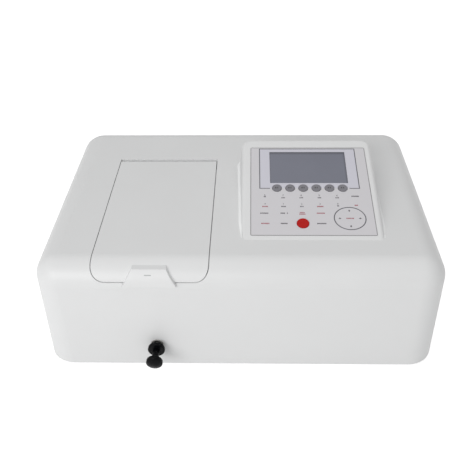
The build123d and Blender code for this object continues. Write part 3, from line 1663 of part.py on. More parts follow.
impeller_y1 = panel_y0 - strut_thickness - fit_gap
impeller_y0 = fan_y0 + fit_gap
middle_y = (impeller_y0 + impeller_y1) / 2
with BuildPart() as blade:
    with BuildSketch(Plane.XY.offset(hub_radius - 1)):
        Rectangle(blade_thickness, blade_chord, rotation=-blade_pitch)
    extrude(amount=fan_bore - blade_gap - hub_radius + 1)
with BuildPart() as fan_impeller:
    with BuildSketch(Plane.XZ.offset(-impeller_y0)):
        with Locations((entrance_x, fan_z)):
            Circle(hub_radius)
    extrude(amount=-(impeller_y1 - impeller_y0))
    for i in range(blade_count):
        add(Pos(entrance_x, middle_y, fan_z) * Rot(0, i * 360 / blade_count, 0) * blade.part)
    with BuildSketch(Plane.XZ.offset(-impeller_y1)):
        with Locations((entrance_x, fan_z)):
            Circle(spigot_radius + running_gap)
    extrude(amount=spigot_length, mode=Mode.SUBTRACT)
save(fan_impeller, "fan_impeller")

spoke_in = fan_bore - (ring_count - 1) * ring_pitch
spoke_out = fan_holes / 2**0.5 - (screw_radius + wire_eye) / 2
with BuildPart() as fan_guard:
    with BuildSketch(Plane.XZ.offset(-panel_y1)):
        with Locations((entrance_x, fan_z)):
            for i in range(ring_count):
                radius = fan_bore - i * ring_pitch
                Circle(radius + wire / 2)
                Circle(radius - wire / 2, mode=Mode.SUBTRACT)
    extrude(amount=-wire)
    with BuildSketch(Plane.XZ.offset(-panel_y1)):
        with Locations((entrance_x, fan_z)):
            with GridLocations(fan_holes, fan_holes, 2, 2):
                Circle(wire_eye)
                Circle(screw_radius, mode=Mode.SUBTRACT)
            with PolarLocations((spoke_in + spoke_out) / 2, 4, start_angle=45):
                Rectangle(spoke_out - spoke_in, wire)
    extrude(amount=-wire)
save(fan_guard, "fan_guard")
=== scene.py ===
import math

import bmesh
import bpy
from bpy.props import FloatProperty, FloatVectorProperty, IntProperty, PointerProperty
from mathutils import Matrix, Vector


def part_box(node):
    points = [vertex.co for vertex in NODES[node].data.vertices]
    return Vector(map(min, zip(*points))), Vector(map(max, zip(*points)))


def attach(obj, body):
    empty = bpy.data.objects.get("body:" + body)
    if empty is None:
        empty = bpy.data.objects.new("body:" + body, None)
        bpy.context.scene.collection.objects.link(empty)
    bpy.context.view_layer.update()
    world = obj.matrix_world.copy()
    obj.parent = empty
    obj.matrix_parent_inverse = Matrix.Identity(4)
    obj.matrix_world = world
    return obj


bl_info = {
    "name": "Spectrophotometer",
    "version": (1, 0, 0),
    "blender": (4, 5, 0),
    "location": "View3D > Sidebar > Instrument",
    "description": "Dresses a bench-top spectrophotometer and sets its stage",
    "category": "Object",
}

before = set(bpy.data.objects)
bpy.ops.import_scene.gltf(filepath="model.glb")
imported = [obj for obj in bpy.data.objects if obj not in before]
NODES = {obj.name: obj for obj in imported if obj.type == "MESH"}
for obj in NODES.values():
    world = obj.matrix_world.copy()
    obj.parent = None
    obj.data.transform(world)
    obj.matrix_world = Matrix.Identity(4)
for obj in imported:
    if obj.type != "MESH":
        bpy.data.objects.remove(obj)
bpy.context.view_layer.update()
MM = 0.001


# Places taken from the solids

TILT = math.radians(13.5)
UP_SLOPE = Vector((0, math.cos(TILT), math.sin(TILT)))
OUT = Vector((0, -math.sin(TILT), math.cos(TILT)))
FILM_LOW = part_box("keypad_film")[0]
FILM_THICKNESS = 0.7 * MM
FILM_EDGE = 0.3 * MM
FILM_CORNER = Vector((FILM_LOW.x, FILM_LOW.y, FILM_LOW.z + FILM_THICKNESS * math.cos(TILT)))
PANEL_CORNER = FILM_CORNER - Vector((FILM_EDGE, 0, 0)) - UP_SLOPE * FILM_EDGE

# The printed field round the screen, and the film inside its darker edge, in metres from the panel's lower
# left corner: left, right, low, high

SCREEN_FIELD = (0.012, 0.1322, 0.0745, 0.1425)
FILM_INSIDE = (0.0009, 0.1451, 0.0011, 0.1445)

# Where the painted shade of the screen's recess starts and ends, from the same corner: up the slope, and
# across

TOP_SHADE = (0.1315, 0.1372)
SIDE_SHADE = (0.1165, 0.1197)

# The row of soft keys: its left end, the pitch, and the two words on each cap from its middle

KEY_ROW_LEFT, KEY_PITCH = 0.0243, 0.016
KEY_WORDS = ((-0.0022, -0.0006), (0.0004, 0.0016))
KEY_WORD_LOW, KEY_WORD_HIGH = 0.0732, 0.0756

# The ring of the cursor keys, and how deep all print reaches into the film, in mm

RING_CENTRE = (116.7, 26.2)
RING_RADII = (18.4, 17.0)
PRINT_SINK = 0.02


def on_panel(across, along, height=0.0):
    """A point on the key panel's film, in mm from its lower left corner."""
    return PANEL_CORNER + Vector((across * MM, 0, 0)) + UP_SLOPE * (along * MM) + OUT * (height * MM)


# Sizes and colours that a user would change

class InstrumentColours(bpy.types.PropertyGroup):
    cover: FloatVectorProperty(
        name="Cover", description="Moulded cover and lid", subtype="COLOR", size=3,
        default=(0.728, 0.732, 0.733), min=0, max=1,
    )
    film: FloatVectorProperty(
        name="Film", description="Key panel film", subtype="COLOR", size=3,
        default=(0.62, 0.608, 0.63), min=0, max=1,
    )
    screen: FloatVectorProperty(
        name="Screen", description="Unlit screen", subtype="COLOR", size=3,
        default=(0.15, 0.157, 0.2), min=0, max=1,
    )
    keys: FloatVectorProperty(
        name="Soft keys", description="Row of round keys", subtype="COLOR", size=3,
        default=(0.2, 0.195, 0.215), min=0, max=1,
    )
    red_key: FloatVectorProperty(
        name="Red key", description="Key at the bottom of the panel", subtype="COLOR", size=3,
        default=(0.445, 0.008, 0.006), min=0, max=1,
    )
    ink: FloatVectorProperty(
        name="Ink", description="Frame line and ring", subtype="COLOR", size=3,
        default=(0.11, 0.11, 0.125), min=0, max=1,
    )


class InstrumentSizes(bpy.types.PropertyGroup):
    cove: FloatProperty(
        name="Console cove", description="Reach of the soft blend at the console's foot",
        default=0.0028, min=0.001, max=0.02, unit="LENGTH", subtype="DISTANCE",
    )
    ink_height: FloatProperty(
        name="Ink height", description="How far printed marks stand on the film",
        default=0.00004, min=0.00001, max=0.0002, unit="LENGTH", subtype="DISTANCE",
    )
    line_width: FloatProperty(
        name="Line width", description="Width of the frame line round the screen",
        default=0.0011, min=0.0002, max=0.003, unit="LENGTH", subtype="DISTANCE",
    )
    ring_width: FloatProperty(
        name="Ring width", description="Width of the arrow ring's line",
        default=0.0012, min=0.0002, max=0.003, unit="LENGTH", subtype="DISTANCE",
    )
    letter_width: FloatProperty(
        name="Letter width", description="Width of one mark in a printed legend",
        default=0.001, min=0.0002, max=0.003, unit="LENGTH", subtype="DISTANCE",
    )
    letter_height: FloatProperty(
        name="Letter height", description="Height of one mark in a printed legend",
        default=0.0018, min=0.0002, max=0.004, unit="LENGTH", subtype="DISTANCE",
    )
    screw_head: FloatProperty(
        name="Screw head", description="Radius of the screw heads on the rear panel",
        default=0.0028, min=0.001, max=0.006, unit="LENGTH", subtype="DISTANCE",
    )
    cove_steps: IntProperty(
        name="Cove steps", description="Facets across the console's cove",
        default=16, min=4, max=64, subtype="UNSIGNED",
    )


# Material building

class Wire:
    """A value in a material. Arithmetic on it adds Math nodes."""

    def __init__(self, finish, socket):
        self.finish = finish
        self.socket = socket

    def _math(self, operation, first, second):
        return self.finish.node("Math", {"operation": operation}, {0: first, 1: second})

    def __add__(self, other):
        return self._math("ADD", self, other)

    def __radd__(self, other):
        return self._math("ADD", other, self)

    def __sub__(self, other):
        return self._math("SUBTRACT", self, other)

    def __mul__(self, other):
        return self._math("MULTIPLY", self, other)

    def __lt__(self, other):
        return self._math("LESS_THAN", self, other)

    def __gt__(self, other):
        return self._math("GREATER_THAN", self, other)


class Finish:
    """One material, built round a Principled shader."""

    def __init__(self, name, **shader):
        self.material = bpy.data.materials.new(name)
        self.material.use_nodes = True
        self.tree = self.material.node_tree
        self.tree.nodes.clear()
        self.shader = self.tree.nodes.new("ShaderNodeBsdfPrincipled")
        self.output = self.tree.nodes.new("ShaderNodeOutputMaterial")
        self.tree.links.new(self.shader.outputs[0], self.output.inputs["Surface"])
        self.set(**shader)

    def set(self, **values):
        for key, value in values.items():
            socket = key.replace("_", " ").title().replace("Ior", "IOR")
            self._feed(self.shader.inputs[socket], value)

    def _feed(self, socket, value):
        if isinstance(value, Wire):
            self.tree.links.new(value.socket, socket)
        elif socket.type == "RGBA" and len(value) == 3:
            socket.default_value = (*value, 1.0)
        else:
            socket.default_value = value

    def node(self, kind, settings=None, inputs=None, outlet=0):
        """Adds a shader node, sets it, feeds its inputs and gives one output."""
        made = self.tree.nodes.new("ShaderNode" + kind)
        for key, value in (settings or {}).items():
            if key == "stops":
                for k, (place, shade) in enumerate(value):
                    stops = made.color_ramp.elements
                    stop = stops[k] if k < len(stops) else stops.new(place)
                    stop.position = place
                    stop.color = (shade, shade, shade, 1.0)
            else:
                setattr(made, key, value)
        for key, value in (inputs or {}).items():
            self._feed(made.inputs[key], value)
        return Wire(self, made.outputs[outlet])

    def place(self):
        """The place on the part in metres, the same for every piece."""
        return self.node("TexCoord", outlet="Object")

    def noise(self, scale, detail=3.0, vector=None):
        return self.node(
            "TexNoise", None,
            {"Vector": vector or self.place(), "Scale": scale, "Detail": detail, "Roughness": 0.55},
        )

    def mix(self, factor, first, second):
        """Blends two colours."""
        made = self.tree.nodes.new("ShaderNodeMix")
        made.data_type = "RGBA"
        self._feed(made.inputs[0], factor)
        self._feed(made.inputs[6], first)
        self._feed(made.inputs[7], second)
        return Wire(self, made.outputs[2])

    def fade(self, value, start, end, most=1.0):
        """Rises smoothly from nought at start to most at end."""
        return self.node(
            "MapRange", {"interpolation_type": "SMOOTHSTEP"},
            {"Value": value, "From Min": start, "From Max": end, "To Min": 0.0, "To Max": most},
        )

    def bump(self, height, distance, strength=1.0):
        return self.node("Bump", None, {"Height": height, "Distance": distance, "Strength": strength})


def shade(colour, factor):
    """The colour, darker or lighter by a factor."""
    return tuple(min(1.0, c * factor) for c in colour)


def moulded(name, colour, roughness=0.42, grain=0.00003, contrast=0.02, scale=2400.0, ior=1.48):
    """Moulded plastic: fine spark-eroded grain, a slight cloudiness and varying sheen."""
    f = Finish(name, ior=ior)
    cloud = f.noise(14.0, 4.0)
    fine = f.noise(scale, 2.0)
    f.set(
        base_color=f.mix(cloud, shade(colour, 1 - contrast), shade(colour, 1 + contrast)),
        roughness=roughness - 0.05 + cloud * 0.1,
        normal=f.bump(fine, grain, 0.6),
    )
    return f.material


def rubbery(name, colour):
    """Matt rubber with dust in its pores."""
    f = Finish(name, ior=1.5)
    fine = f.noise(1500.0, 3.0)
    dust = f.noise(60.0, 4.0)
    f.set(
        base_color=f.mix(dust, colour, shade(colour, 2.2)),
        roughness=0.72 + fine * 0.2,
        normal=f.bump(fine, 0.00008),
    )
    return f.material


def metal(name, colour, roughness=0.32, stretch=(1.0, 1.0, 1.0), grain=0.00001, contrast=0.08):
    """Bare metal: its grain drawn out along one direction."""
    f = Finish(name, metallic=1.0)
    lie = f.node("Mapping", None, {"Vector": f.place(), "Scale": stretch})
    lines = f.noise(900.0, 3.0, lie)
    stain = f.noise(30.0, 4.0)
    f.set(
        base_color=f.mix(stain, shade(colour, 1 - contrast), shade(colour, 1 + contrast)),
        roughness=roughness + lines * 0.16,
        normal=f.bump(lines, grain),
    )
    return f.material


def cast(name, colour):
    """Sand-cast alloy: pitted skin with darker hollows."""
    f = Finish(name, metallic=0.85)
    pits = f.noise(420.0, 5.0)
    ramp = f.node("ValToRGB", {"stops": ((0.3, 0.0), (0.62, 1.0))}, {"Fac": pits})
    f.set(
        base_color=f.mix(ramp, shade(colour, 0.7), colour),
        roughness=0.5 + pits * 0.25,
        normal=f.bump(pits, 0.00025),
    )
    return f.material


def painted(name, colour, roughness=0.5, peel=0.00006):
    """Powder paint: orange peel and a little dust."""
    f = Finish(name, ior=1.5)
    skin = f.noise(700.0, 2.0)
    dust = f.noise(22.0, 5.0)
    f.set(
        base_color=f.mix(dust, shade(colour, 0.92), shade(colour, 1.12)),
        roughness=roughness + dust * 0.12,
        normal=f.bump(skin, peel),
    )
    return f.material


def glassy(name, colour, roughness=0.02):
    """Clear glass with faint smears."""
    f = Finish(name, ior=1.46, transmission_weight=1.0)
    smear = f.noise(50.0, 3.0)
    f.set(base_color=f.mix(smear, shade(colour, 0.97), colour), roughness=roughness + smear * 0.03)
    return f.material


def circuit(name):
    """Solder mask with faint copper runs under it."""
    f = Finish(name, ior=1.5, coat_weight=0.3)
    runs = {"Color1": (1, 1, 1), "Color2": (0.6, 0.6, 0.6), "Mortar": (0, 0, 0)}
    cells = f.node(
        "TexBrick", {"offset": 0.5}, {"Vector": f.place(), "Scale": 160.0, **runs}, outlet="Color",
    )
    f.set(
        base_color=f.mix(cells, (0.015, 0.12, 0.05), (0.03, 0.2, 0.085)),
        roughness=0.4,
        normal=f.bump(cells, 0.00003),
    )
    return f.material


def panel_axes(f):
    """The place on the key panel in metres, across and along, from its lower left corner."""
    shift = f.node("VectorMath", {"operation": "SUBTRACT"}, {0: f.place(), 1: tuple(PANEL_CORNER)})
    across, along = (
        f.node("VectorMath", {"operation": "DOT_PRODUCT"}, {0: shift, 1: tuple(way)}, outlet="Value")
        for way in ((1, 0, 0), UP_SLOPE)
    )
    return across, along


def within(across, along, zone):
    """One inside a zone of the panel, nought outside it."""
    left, right, low, high = zone
    return (across > left) * (across < right) * (along > low) * (along < high)


def film_finish(colour):
    """Printed polyester film: a cooler field round the screen, a dark edge and a fine velvet texture."""
    f = Finish("panel_film", ior=1.5)
    across, along = panel_axes(f)
    fine = f.noise(3200.0, 2.0)
    cloud = f.noise(18.0, 3.0)
    plain = f.mix(cloud, shade(colour, 0.985), shade(colour, 1.015))
    printed = f.mix(within(across, along, SCREEN_FIELD) * 0.8, plain, (0.59, 0.585, 0.66))
    f.set(
        base_color=f.mix(within(across, along, FILM_INSIDE), shade(colour, 0.42), printed),
        roughness=0.38 + cloud * 0.1,
        normal=f.bump(fine, 0.00002, 0.5),
    )
    return f.material


def screen_finish(colour):
    """An unlit screen behind its window: grey, with painted shade of its recess along its upper and right
    edges.
    """
    f = Finish("screen", ior=1.5, coat_weight=0.25, coat_roughness=0.12)
    across, along = panel_axes(f)
    cloud = f.noise(26.0, 2.0)
    body = f.mix(cloud, shade(colour, 0.93), shade(colour, 1.07))
    # painted shade of the screen's recess, along the upper edge and then along the right edge
    dark = f.mix(f.fade(along, *TOP_SHADE), body, shade(colour, 0.45))
    f.set(
        base_color=f.mix(f.fade(across, *SIDE_SHADE, 0.7), dark, shade(colour, 0.5)),
        roughness=0.3 + cloud * 0.08,
    )
    return f.material


def key_finish(colour):
    """Soft keys: moulded grey caps with a small darker legend printed on each."""
    f = Finish("soft_keys", ior=1.48)
    across, along = panel_axes(f)
    turn = f.node("Math", {"operation": "FLOORED_MODULO"}, {0: across - KEY_ROW_LEFT, 1: KEY_PITCH})
    off = turn - KEY_PITCH / 2
    first, second = ((off > left) * (off < right) for left, right in KEY_WORDS)
    legend = (first + second) * (along > KEY_WORD_LOW) * (along < KEY_WORD_HIGH)
    fine = f.noise(2600.0, 2.0)
    cloud = f.noise(200.0, 3.0)
    plain = f.mix(cloud, shade(colour, 0.94), shade(colour, 1.06))
    f.set(
        base_color=f.mix(legend, plain, shade(colour, 0.35)),
        roughness=0.45 + cloud * 0.1,
        normal=f.bump(fine, 0.00003, 0.6),
    )
    return f.material


def foam(name, colour):
    """Open-cell foam, with painted shade inside its cells."""
    f = Finish(name, ior=1.4)
    cells = f.node("TexVoronoi", None, {"Vector": f.place(), "Scale": 900.0}, outlet="Distance")
    f.set(base_color=f.mix(cells, shade(colour, 0.4), colour), roughness=0.9, normal=f.bump(cells, 0.0003))
    return f.material


# Mesh helpers

STRIP_START = 0.1
STRIP_SINK = 0.06 * MM


def finished(name, mesh, body, finish):
    """Links a mesh as a piece at the origin that rides on a body, with one of the finishes."""
    piece = bpy.data.objects.new(name, mesh)
    bpy.context.scene.collection.objects.link(piece)
    piece.data.materials.append(bpy.data.materials[finish])
    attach(piece, body)


def dress(material, *names):
    """Puts one finish on CAD nodes."""
    for name in names:
        mesh = NODES[name].data
        mesh.materials.clear()
        mesh.materials.append(material)


def bridge(bm, rows, closed=False):
    """Skins rows of vertices into a tube, and shuts its ends unless the tube closes on itself."""
    spans = list(zip(rows, rows[1:])) + ([(rows[-1], rows[0])] if closed else [])
    faces = []
    for a, b in spans:
        for s in range(len(a)):
            n = (s + 1) % len(a)
            faces.append(bm.faces.new((a[s], a[n], b[n], b[s])))
    if not closed:
        bm.faces.new(rows[0])
        bm.faces.new(list(reversed(rows[-1])))
    return faces


def slab(bm, outline, low, high):
    """A flat printed or cut shape on the key panel: an outline in mm, between two heights in mm."""
    bridge(bm, [[bm.verts.new(on_panel(x, y, height)) for x, y in outline] for height in (low, high)])


def lay_strip(bm, solid, way, pairs, height, closed=False):
    """Lays a thin strip between two rows of places on a solid, each found along way."""
    back = solid.matrix_world.inverted()
    rows = []
    for pair in pairs:
        ends = []
        for place in pair:
            start = Vector(place) - Vector(way) * STRIP_START
            struck, point, normal, _ = solid.ray_cast(back @ start, back.to_3x3() @ Vector(way))
            if not struck:
                raise RuntimeError(f"a mark misses {solid.name}")
            point = solid.matrix_world @ point
            normal = (solid.matrix_world.to_3x3() @ normal).normalized()
            ends.append((point - normal * STRIP_SINK, point + normal * height))
        (a_low, a_high), (b_low, b_high) = ends
        rows.append([bm.verts.new(p) for p in (a_low, b_low, b_high, a_high)])
    bridge(bm, rows, closed)


def mesh_from(bm, name, merge=True):
    """Turns the working mesh into a finished one, with its faces turned outward."""
    if merge:
        bmesh.ops.remove_doubles(bm, verts=bm.verts, dist=1e-7)
    bmesh.ops.recalc_face_normals(bm, faces=bm.faces)
    mesh = bpy.data.meshes.new(name)
    bm.to_mesh(mesh)
    bm.free()
    return mesh


def point_cloud(name, points):
    """An object of loose points, on which a tree sets its instances."""
    mesh = bpy.data.meshes.new(name)
    mesh.from_pydata([tuple(p) for p in points], [], [])
    piece = bpy.data.objects.new(name, mesh)
    bpy.context.scene.collection.objects.link(piece)
    return piece


def grown(source, tree, inputs, name, body, finish):
    """Runs a Geometry Nodes tree on a source, and keeps the result as a plain piece on a body."""
    modifier = source.modifiers.new("Grow", "NODES")
    modifier.node_group = tree
    for item in tree.interface.items_tree:
        if item.item_type == "SOCKET" and item.in_out == "INPUT" and item.name in inputs:
            modifier[item.identifier] = inputs[item.name]
    graph = bpy.context.evaluated_depsgraph_get()
    mesh = bpy.data.meshes.new_from_object(source.evaluated_get(graph))
    mesh.name = name
    bpy.data.objects.remove(source)
    mesh.materials.clear()
    finished(name, mesh, body, finish)


class Tree:
    """A Geometry Nodes tree with named inputs."""

    def __init__(self, name, **sizes):
        self.group = bpy.data.node_groups.new(name, "GeometryNodeTree")
        face = self.group.interface
        face.new_socket("Geometry", in_out="INPUT", socket_type="NodeSocketGeometry")
        for key, (kind, value) in sizes.items():
            socket = face.new_socket(key, in_out="INPUT", socket_type="NodeSocket" + kind)
            socket.default_value = value
        face.new_socket("Geometry", in_out="OUTPUT", socket_type="NodeSocketGeometry")
        self.inlet = self.group.nodes.new("NodeGroupInput")
        self.outlet = self.group.nodes.new("NodeGroupOutput")

    def node(self, kind, settings=None, inputs=None):
        """Adds a node, sets it and feeds its inputs with values or with other nodes' outputs."""
        made = self.group.nodes.new(kind)
        for key, value in (settings or {}).items():
            setattr(made, key, value)
        for key, value in (inputs or {}).items():
            if isinstance(value, bpy.types.NodeSocket):
                self.group.links.new(value, made.inputs[key])
            else:
                made.inputs[key].default_value = value
        return made

    def out(self, kind, settings=None, inputs=None):
        """The first output of a new node."""
        return self.node(kind, settings, inputs).outputs[0]

    def finish(self, geometry):
        """Makes the instances real and hands them out."""
        real = self.out("GeometryNodeRealizeInstances", None, {"Geometry": geometry})
        self.group.links.new(real, self.outlet.inputs[0])
        return self.group


# Operators: one for each piece or group of like pieces

class INSTRUMENT_OT_finishes(bpy.types.Operator):
    """Put a finish on every solid that keeps its own shape"""
    bl_idname = "instrument.finishes"
    bl_label = "Finishes"

    def execute(self, context):
        colours = context.scene.instrument_colours
        dress(moulded("cover_plastic", tuple(colours.cover)), "top_cover", "lid")
        dress(film_finish(tuple(colours.film)), "keypad_film")
        dress(screen_finish(tuple(colours.screen)), "screen_window")
        dress(key_finish(tuple(colours.keys)), *[f"soft_key_{i}" for i in range(1, 7)])
        dress(moulded("red_plastic", tuple(colours.red_key), 0.35, 0.00001, ior=1.22), "red_key")
        dress(moulded("knob_black", (0.0025, 0.0028, 0.0035), 0.3, 0.000005, 0.1, ior=1.18), "pull_knob")
        dress(moulded("fitting_black", (0.02, 0.02, 0.022), 0.45), "mains_inlet", "fuse_drawer",
              "switch_body", "fan_frame", "fan_impeller", "display_module")
        dress(moulded("rocker_black", (0.016, 0.016, 0.018), 0.3, 0.00001), "power_rocker")
        dress(rubbery("foot_rubber", (0.02, 0.02, 0.021)), "rubber_feet")
        dress(foam("seal_foam", (0.035, 0.035, 0.038)), "lid_seal")
        dress(painted("panel_grey", (0.6, 0.61, 0.62)), "rear_panel")
        dress(painted("chamber_black", (0.018, 0.018, 0.02), 0.62, 0.0001), "sample_tub", "cell_carriage",
              "monochromator_housing", "monochromator_cover", "slit_plates", "filter_wheel")
        dress(painted("core_lacquer", (0.07, 0.035, 0.02), 0.35), "transformer")
        dress(metal("drawn_steel", (0.56, 0.56, 0.57), 0.22, (1.0, 0.06, 1.0)), "guide_rods", "pull_rod",
              "plunger")
        dress(metal("pin_steel", (0.55, 0.55, 0.56), 0.25, (0.06, 1.0, 1.0)), "hinge_pin")
        dress(metal("sheet_steel", (0.5, 0.5, 0.5), 0.4, (0.1, 1.0, 1.0)), "base_plate", "hinge_brackets",
              "data_sockets", "standoffs")
        dress(metal("spring_steel", (0.45, 0.44, 0.42), 0.3), "cell_springs", "detent_spring", "rod_bush",
              "photodiode", "filter_motor", "linear_actuator")
        dress(metal("wire_chrome", (0.66, 0.66, 0.67), 0.12), "fan_guard", "case_screws")
        dress(metal("lamp_sheet", (0.7, 0.7, 0.71), 0.35, (1.0, 0.1, 1.0)), "lamp_house")
        dress(metal("mirror_coat", (0.9, 0.9, 0.92), 0.02, grain=0.0, contrast=0.02), "concave_mirrors",
              "grating")
        dress(metal("plated_brass", (0.72, 0.52, 0.22), 0.25, contrast=0.05), "inlet_pins")
        dress(cast("cast_alloy", (0.5, 0.5, 0.51)), "optical_bench", "detector_housing", "mirror_mounts",
              "grating_table")
        dress(glassy("clear_glass", (0.95, 0.97, 0.98)), "beam_windows", "halogen_lamp")
        dress(painted("socket_ceramic", (0.68, 0.64, 0.56), 0.3), "lamp_socket")
        dress(circuit("solder_mask"), "main_board", "power_board", "detector_board", "keypad_board")
        # finishes that the printed marks and the tab's grey bar take up by name
        moulded("ink_grey", tuple(colours.ink), 0.5, 0.000002, 0.05)
        moulded("tab_bar_grey", (0.42, 0.43, 0.43), 0.5, 0.000002, 0.05)
        moulded("ink_dark", (0.075, 0.068, 0.08), 0.5, 0.000002, 0.1)
        moulded("ink_red", (0.34, 0.065, 0.09), 0.5, 0.000002, 0.1)
        moulded("ink_white", (0.75, 0.75, 0.75), 0.5, 0.000002, 0.03)
        missing = [n for n, o in NODES.items() if not o.data.materials or not o.data.materials[0].use_nodes]
        if missing:
            raise RuntimeError(f"no finish on {missing}")
        return {"FINISHED"}


class INSTRUMENT_OT_frame_line(bpy.types.Operator):
    """Print the line round the screen, open at the bottom between the keys' ends"""
    bl_idname = "instrument.frame_line"
    bl_label = "Frame line"

    LEFT, RIGHT, LOW, HIGH = 11.5, 132.7, 74.0, 143.0
    LEFT_END, RIGHT_END = 23.9, 120.6

    def execute(self, context):
        sizes = context.scene.instrument_sizes
        half = sizes.line_width / MM / 2
        path = (
            (self.LEFT_END, self.LOW), (self.LEFT, self.LOW), (self.LEFT, self.HIGH),
            (self.RIGHT, self.HIGH), (self.RIGHT, self.LOW), (self.RIGHT_END, self.LOW),
        )
        outer = []
        inner = []
        for k, (x, y) in enumerate(path):
            loose = k in (0, len(path) - 1)
            dx = 0 if loose else math.copysign(half, x - (self.LEFT + self.RIGHT) / 2)
            dy = math.copysign(half, y - (self.LOW + self.HIGH) / 2)
            outer.append((x + dx, y + dy))
            inner.append((x - dx, y - dy))
        bm = bmesh.new()
        slab(bm, list(reversed(outer + inner[::-1])), -PRINT_SINK, sizes.ink_height / MM)
        finished("frame_line", mesh_from(bm, "frame_line"), "body", "ink_grey")
        return {"FINISHED"}


class INSTRUMENT_OT_arrow_ring(bpy.types.Operator):
    """Print the ring of the cursor keys with its four arrows"""
    bl_idname = "instrument.arrow_ring"
    bl_label = "Arrow ring"

    FACETS = 96
    # one arrow, its tip to the right, in mm from the ring's centre
    ARROW = ((13.6, 0.0), (11.6, 1.3), (11.6, 0.5), (10.4, 0.5), (10.4, -0.5), (11.6, -0.5), (11.6, -1.3))

    def execute(self, context):
        sizes = context.scene.instrument_sizes
        half = sizes.ring_width / MM / 2
        top = sizes.ink_height / MM
        cx, cy = RING_CENTRE
        rx, ry = RING_RADII
        bm = bmesh.new()
        rows = []
        for k in range(self.FACETS):
            c, s = math.cos(2 * math.pi * k / self.FACETS), math.sin(2 * math.pi * k / self.FACETS)
            rows.append([
                bm.verts.new(on_panel(cx + (rx + reach) * c, cy + (ry + reach) * s, height))
                for reach, height in ((-half, -PRINT_SINK), (half, -PRINT_SINK), (half, top), (-half, top))
            ])
        bridge(bm, rows, True)
        finished("arrow_ring", mesh_from(bm, "arrow_ring"), "body", "ink_grey")
        bm = bmesh.new()
        for turn in range(4):
            c, s = math.cos(turn * math.pi / 2), math.sin(turn * math.pi / 2)
            slab(bm, [(cx + c * x - s * y, cy + s * x + c * y) for x, y in self.ARROW], -PRINT_SINK, top)
        finished("ring_arrows", mesh_from(bm, "ring_arrows"), "body", "ink_dark")
        return {"FINISHED"}


class INSTRUMENT_OT_legends(bpy.types.Operator):
    """Print the legends under the membrane keys: rows of small marks, and a numeral over ten of them"""
    bl_idname = "instrument.legends"
    bl_label = "Legends"

    # columns and rows of the membrane keys' legends, in mm on the panel
    COLUMNS = (17.4, 39.4, 61.2, 83.0, 104.3, 126.0)
    UPPER, MIDDLE, LOWER, BOTTOM = 58.6, 44.6, 34.1, 18.3
    # words: the column, a shift to the right, the row, the count of marks and their pitch
    DARK = (
        (1, 0, UPPER, 3, 1.5), (2, 0, UPPER, 3, 1.5), (3, 0, UPPER, 3, 1.5), (4, 0, UPPER, 3, 1.5),
        (5, 0, 61.0, 7, 1.3), (0, 0, 60.4, 2, 1.4),
        (1, 0, MIDDLE, 4, 1.4), (2, 0, MIDDLE, 3, 1.5), (4, 0, 45.6, 2, 1.3),
        (0, -1.0, LOWER, 7, 1.4), (1, -1.2, LOWER, 4, 1.4), (1, 4.2, LOWER, 1, 1.4),
        (1, 0, BOTTOM, 6, 1.35), (3, 0, BOTTOM, 8, 1.35),
    )
    RED = (
        (0, 0, MIDDLE, 5, 1.4), (3, 0, MIDDLE, 6, 1.3), (3, 0, LOWER, 7, 1.4), (0, 0, BOTTOM, 7, 1.4),
        (5, 0, 46.6, 3, 1.4), (5, RING_CENTRE[0] - COLUMNS[5], RING_CENTRE[1], 6, 1.5),
        (2, 0, 35.0, 4, 1.5), (2, 0, 32.6, 5, 1.5),
    )
    # numerals: the column, the row and the text
    NUMERALS = (
        (1, 62.2, "7"), (2, 62.2, "8"), (3, 62.2, "9"), (4, 62.2, "6"), (0, 62.6, "5"),
        (0, 48.6, "4"), (1, 48.6, "1"), (2, 48.6, "2"), (3, 48.6, "3"), (4, 48.8, "0"),
    )
    NUMERAL_SIZE = 3.6 * MM

    def marks(self, words):
        """The place of each mark of some words."""
        return [
            on_panel(self.COLUMNS[column] + shift + (k - (count - 1) / 2) * pitch, row)
            for column, shift, row, count, pitch in words
            for k in range(count)
        ]

    def tree(self, name):
        """Sets a small bar on each point, tilted with the panel."""
        tree = Tree(name, Width=("Float", 0.001), Height=("Float", 0.0018), Lift=("Float", 0.00008))
        inlet = tree.inlet.outputs
        size = tree.out(
            "ShaderNodeCombineXYZ", None, {"X": inlet["Width"], "Y": inlet["Height"], "Z": inlet["Lift"]},
        )
        bar = tree.out("GeometryNodeMeshCube", None, {"Size": size})
        return tree.finish(tree.out(
            "GeometryNodeInstanceOnPoints", None,
            {"Points": inlet["Geometry"], "Instance": bar, "Rotation": (TILT, 0.0, 0.0)},
        ))

    def numeral(self, text, height):
        """The mesh of one numeral, lying flat at the origin."""
        curve = bpy.data.curves.new("numeral", "FONT")
        curve.body = text
        curve.size = self.NUMERAL_SIZE
        curve.align_x = "CENTER"
        curve.align_y = "CENTER"
        curve.extrude = height
        shape = bpy.data.objects.new("numeral", curve)
        bpy.context.scene.collection.objects.link(shape)
        bpy.context.view_layer.update()
        graph = bpy.context.evaluated_depsgraph_get()
        mesh = bpy.data.meshes.new_from_object(shape.evaluated_get(graph))
        bpy.data.objects.remove(shape)
        return mesh

    def execute(self, context):
        sizes = context.scene.instrument_sizes
        lift = sizes.ink_height * 2
        values = {"Width": sizes.letter_width, "Height": sizes.letter_height, "Lift": lift}
        for tone, words in (("dark", self.DARK), ("red", self.RED)):
            name = "legend_" + tone
            source = point_cloud(name + "_points", self.marks(words))
            grown(source, self.tree(name + "_tree"), values, name, "body", "ink_" + tone)
        bm = bmesh.new()
        for column, row, text in self.NUMERALS:
            mesh = self.numeral(text, sizes.ink_height)
            place = Matrix.Translation(on_panel(self.COLUMNS[column], row))
            mesh.transform(place @ Matrix.Rotation(TILT, 4, "X"))
            bm.from_mesh(mesh)
        finished("numerals", mesh_from(bm, "numerals", False), "body", "ink_dark")
        return {"FINISHED"}


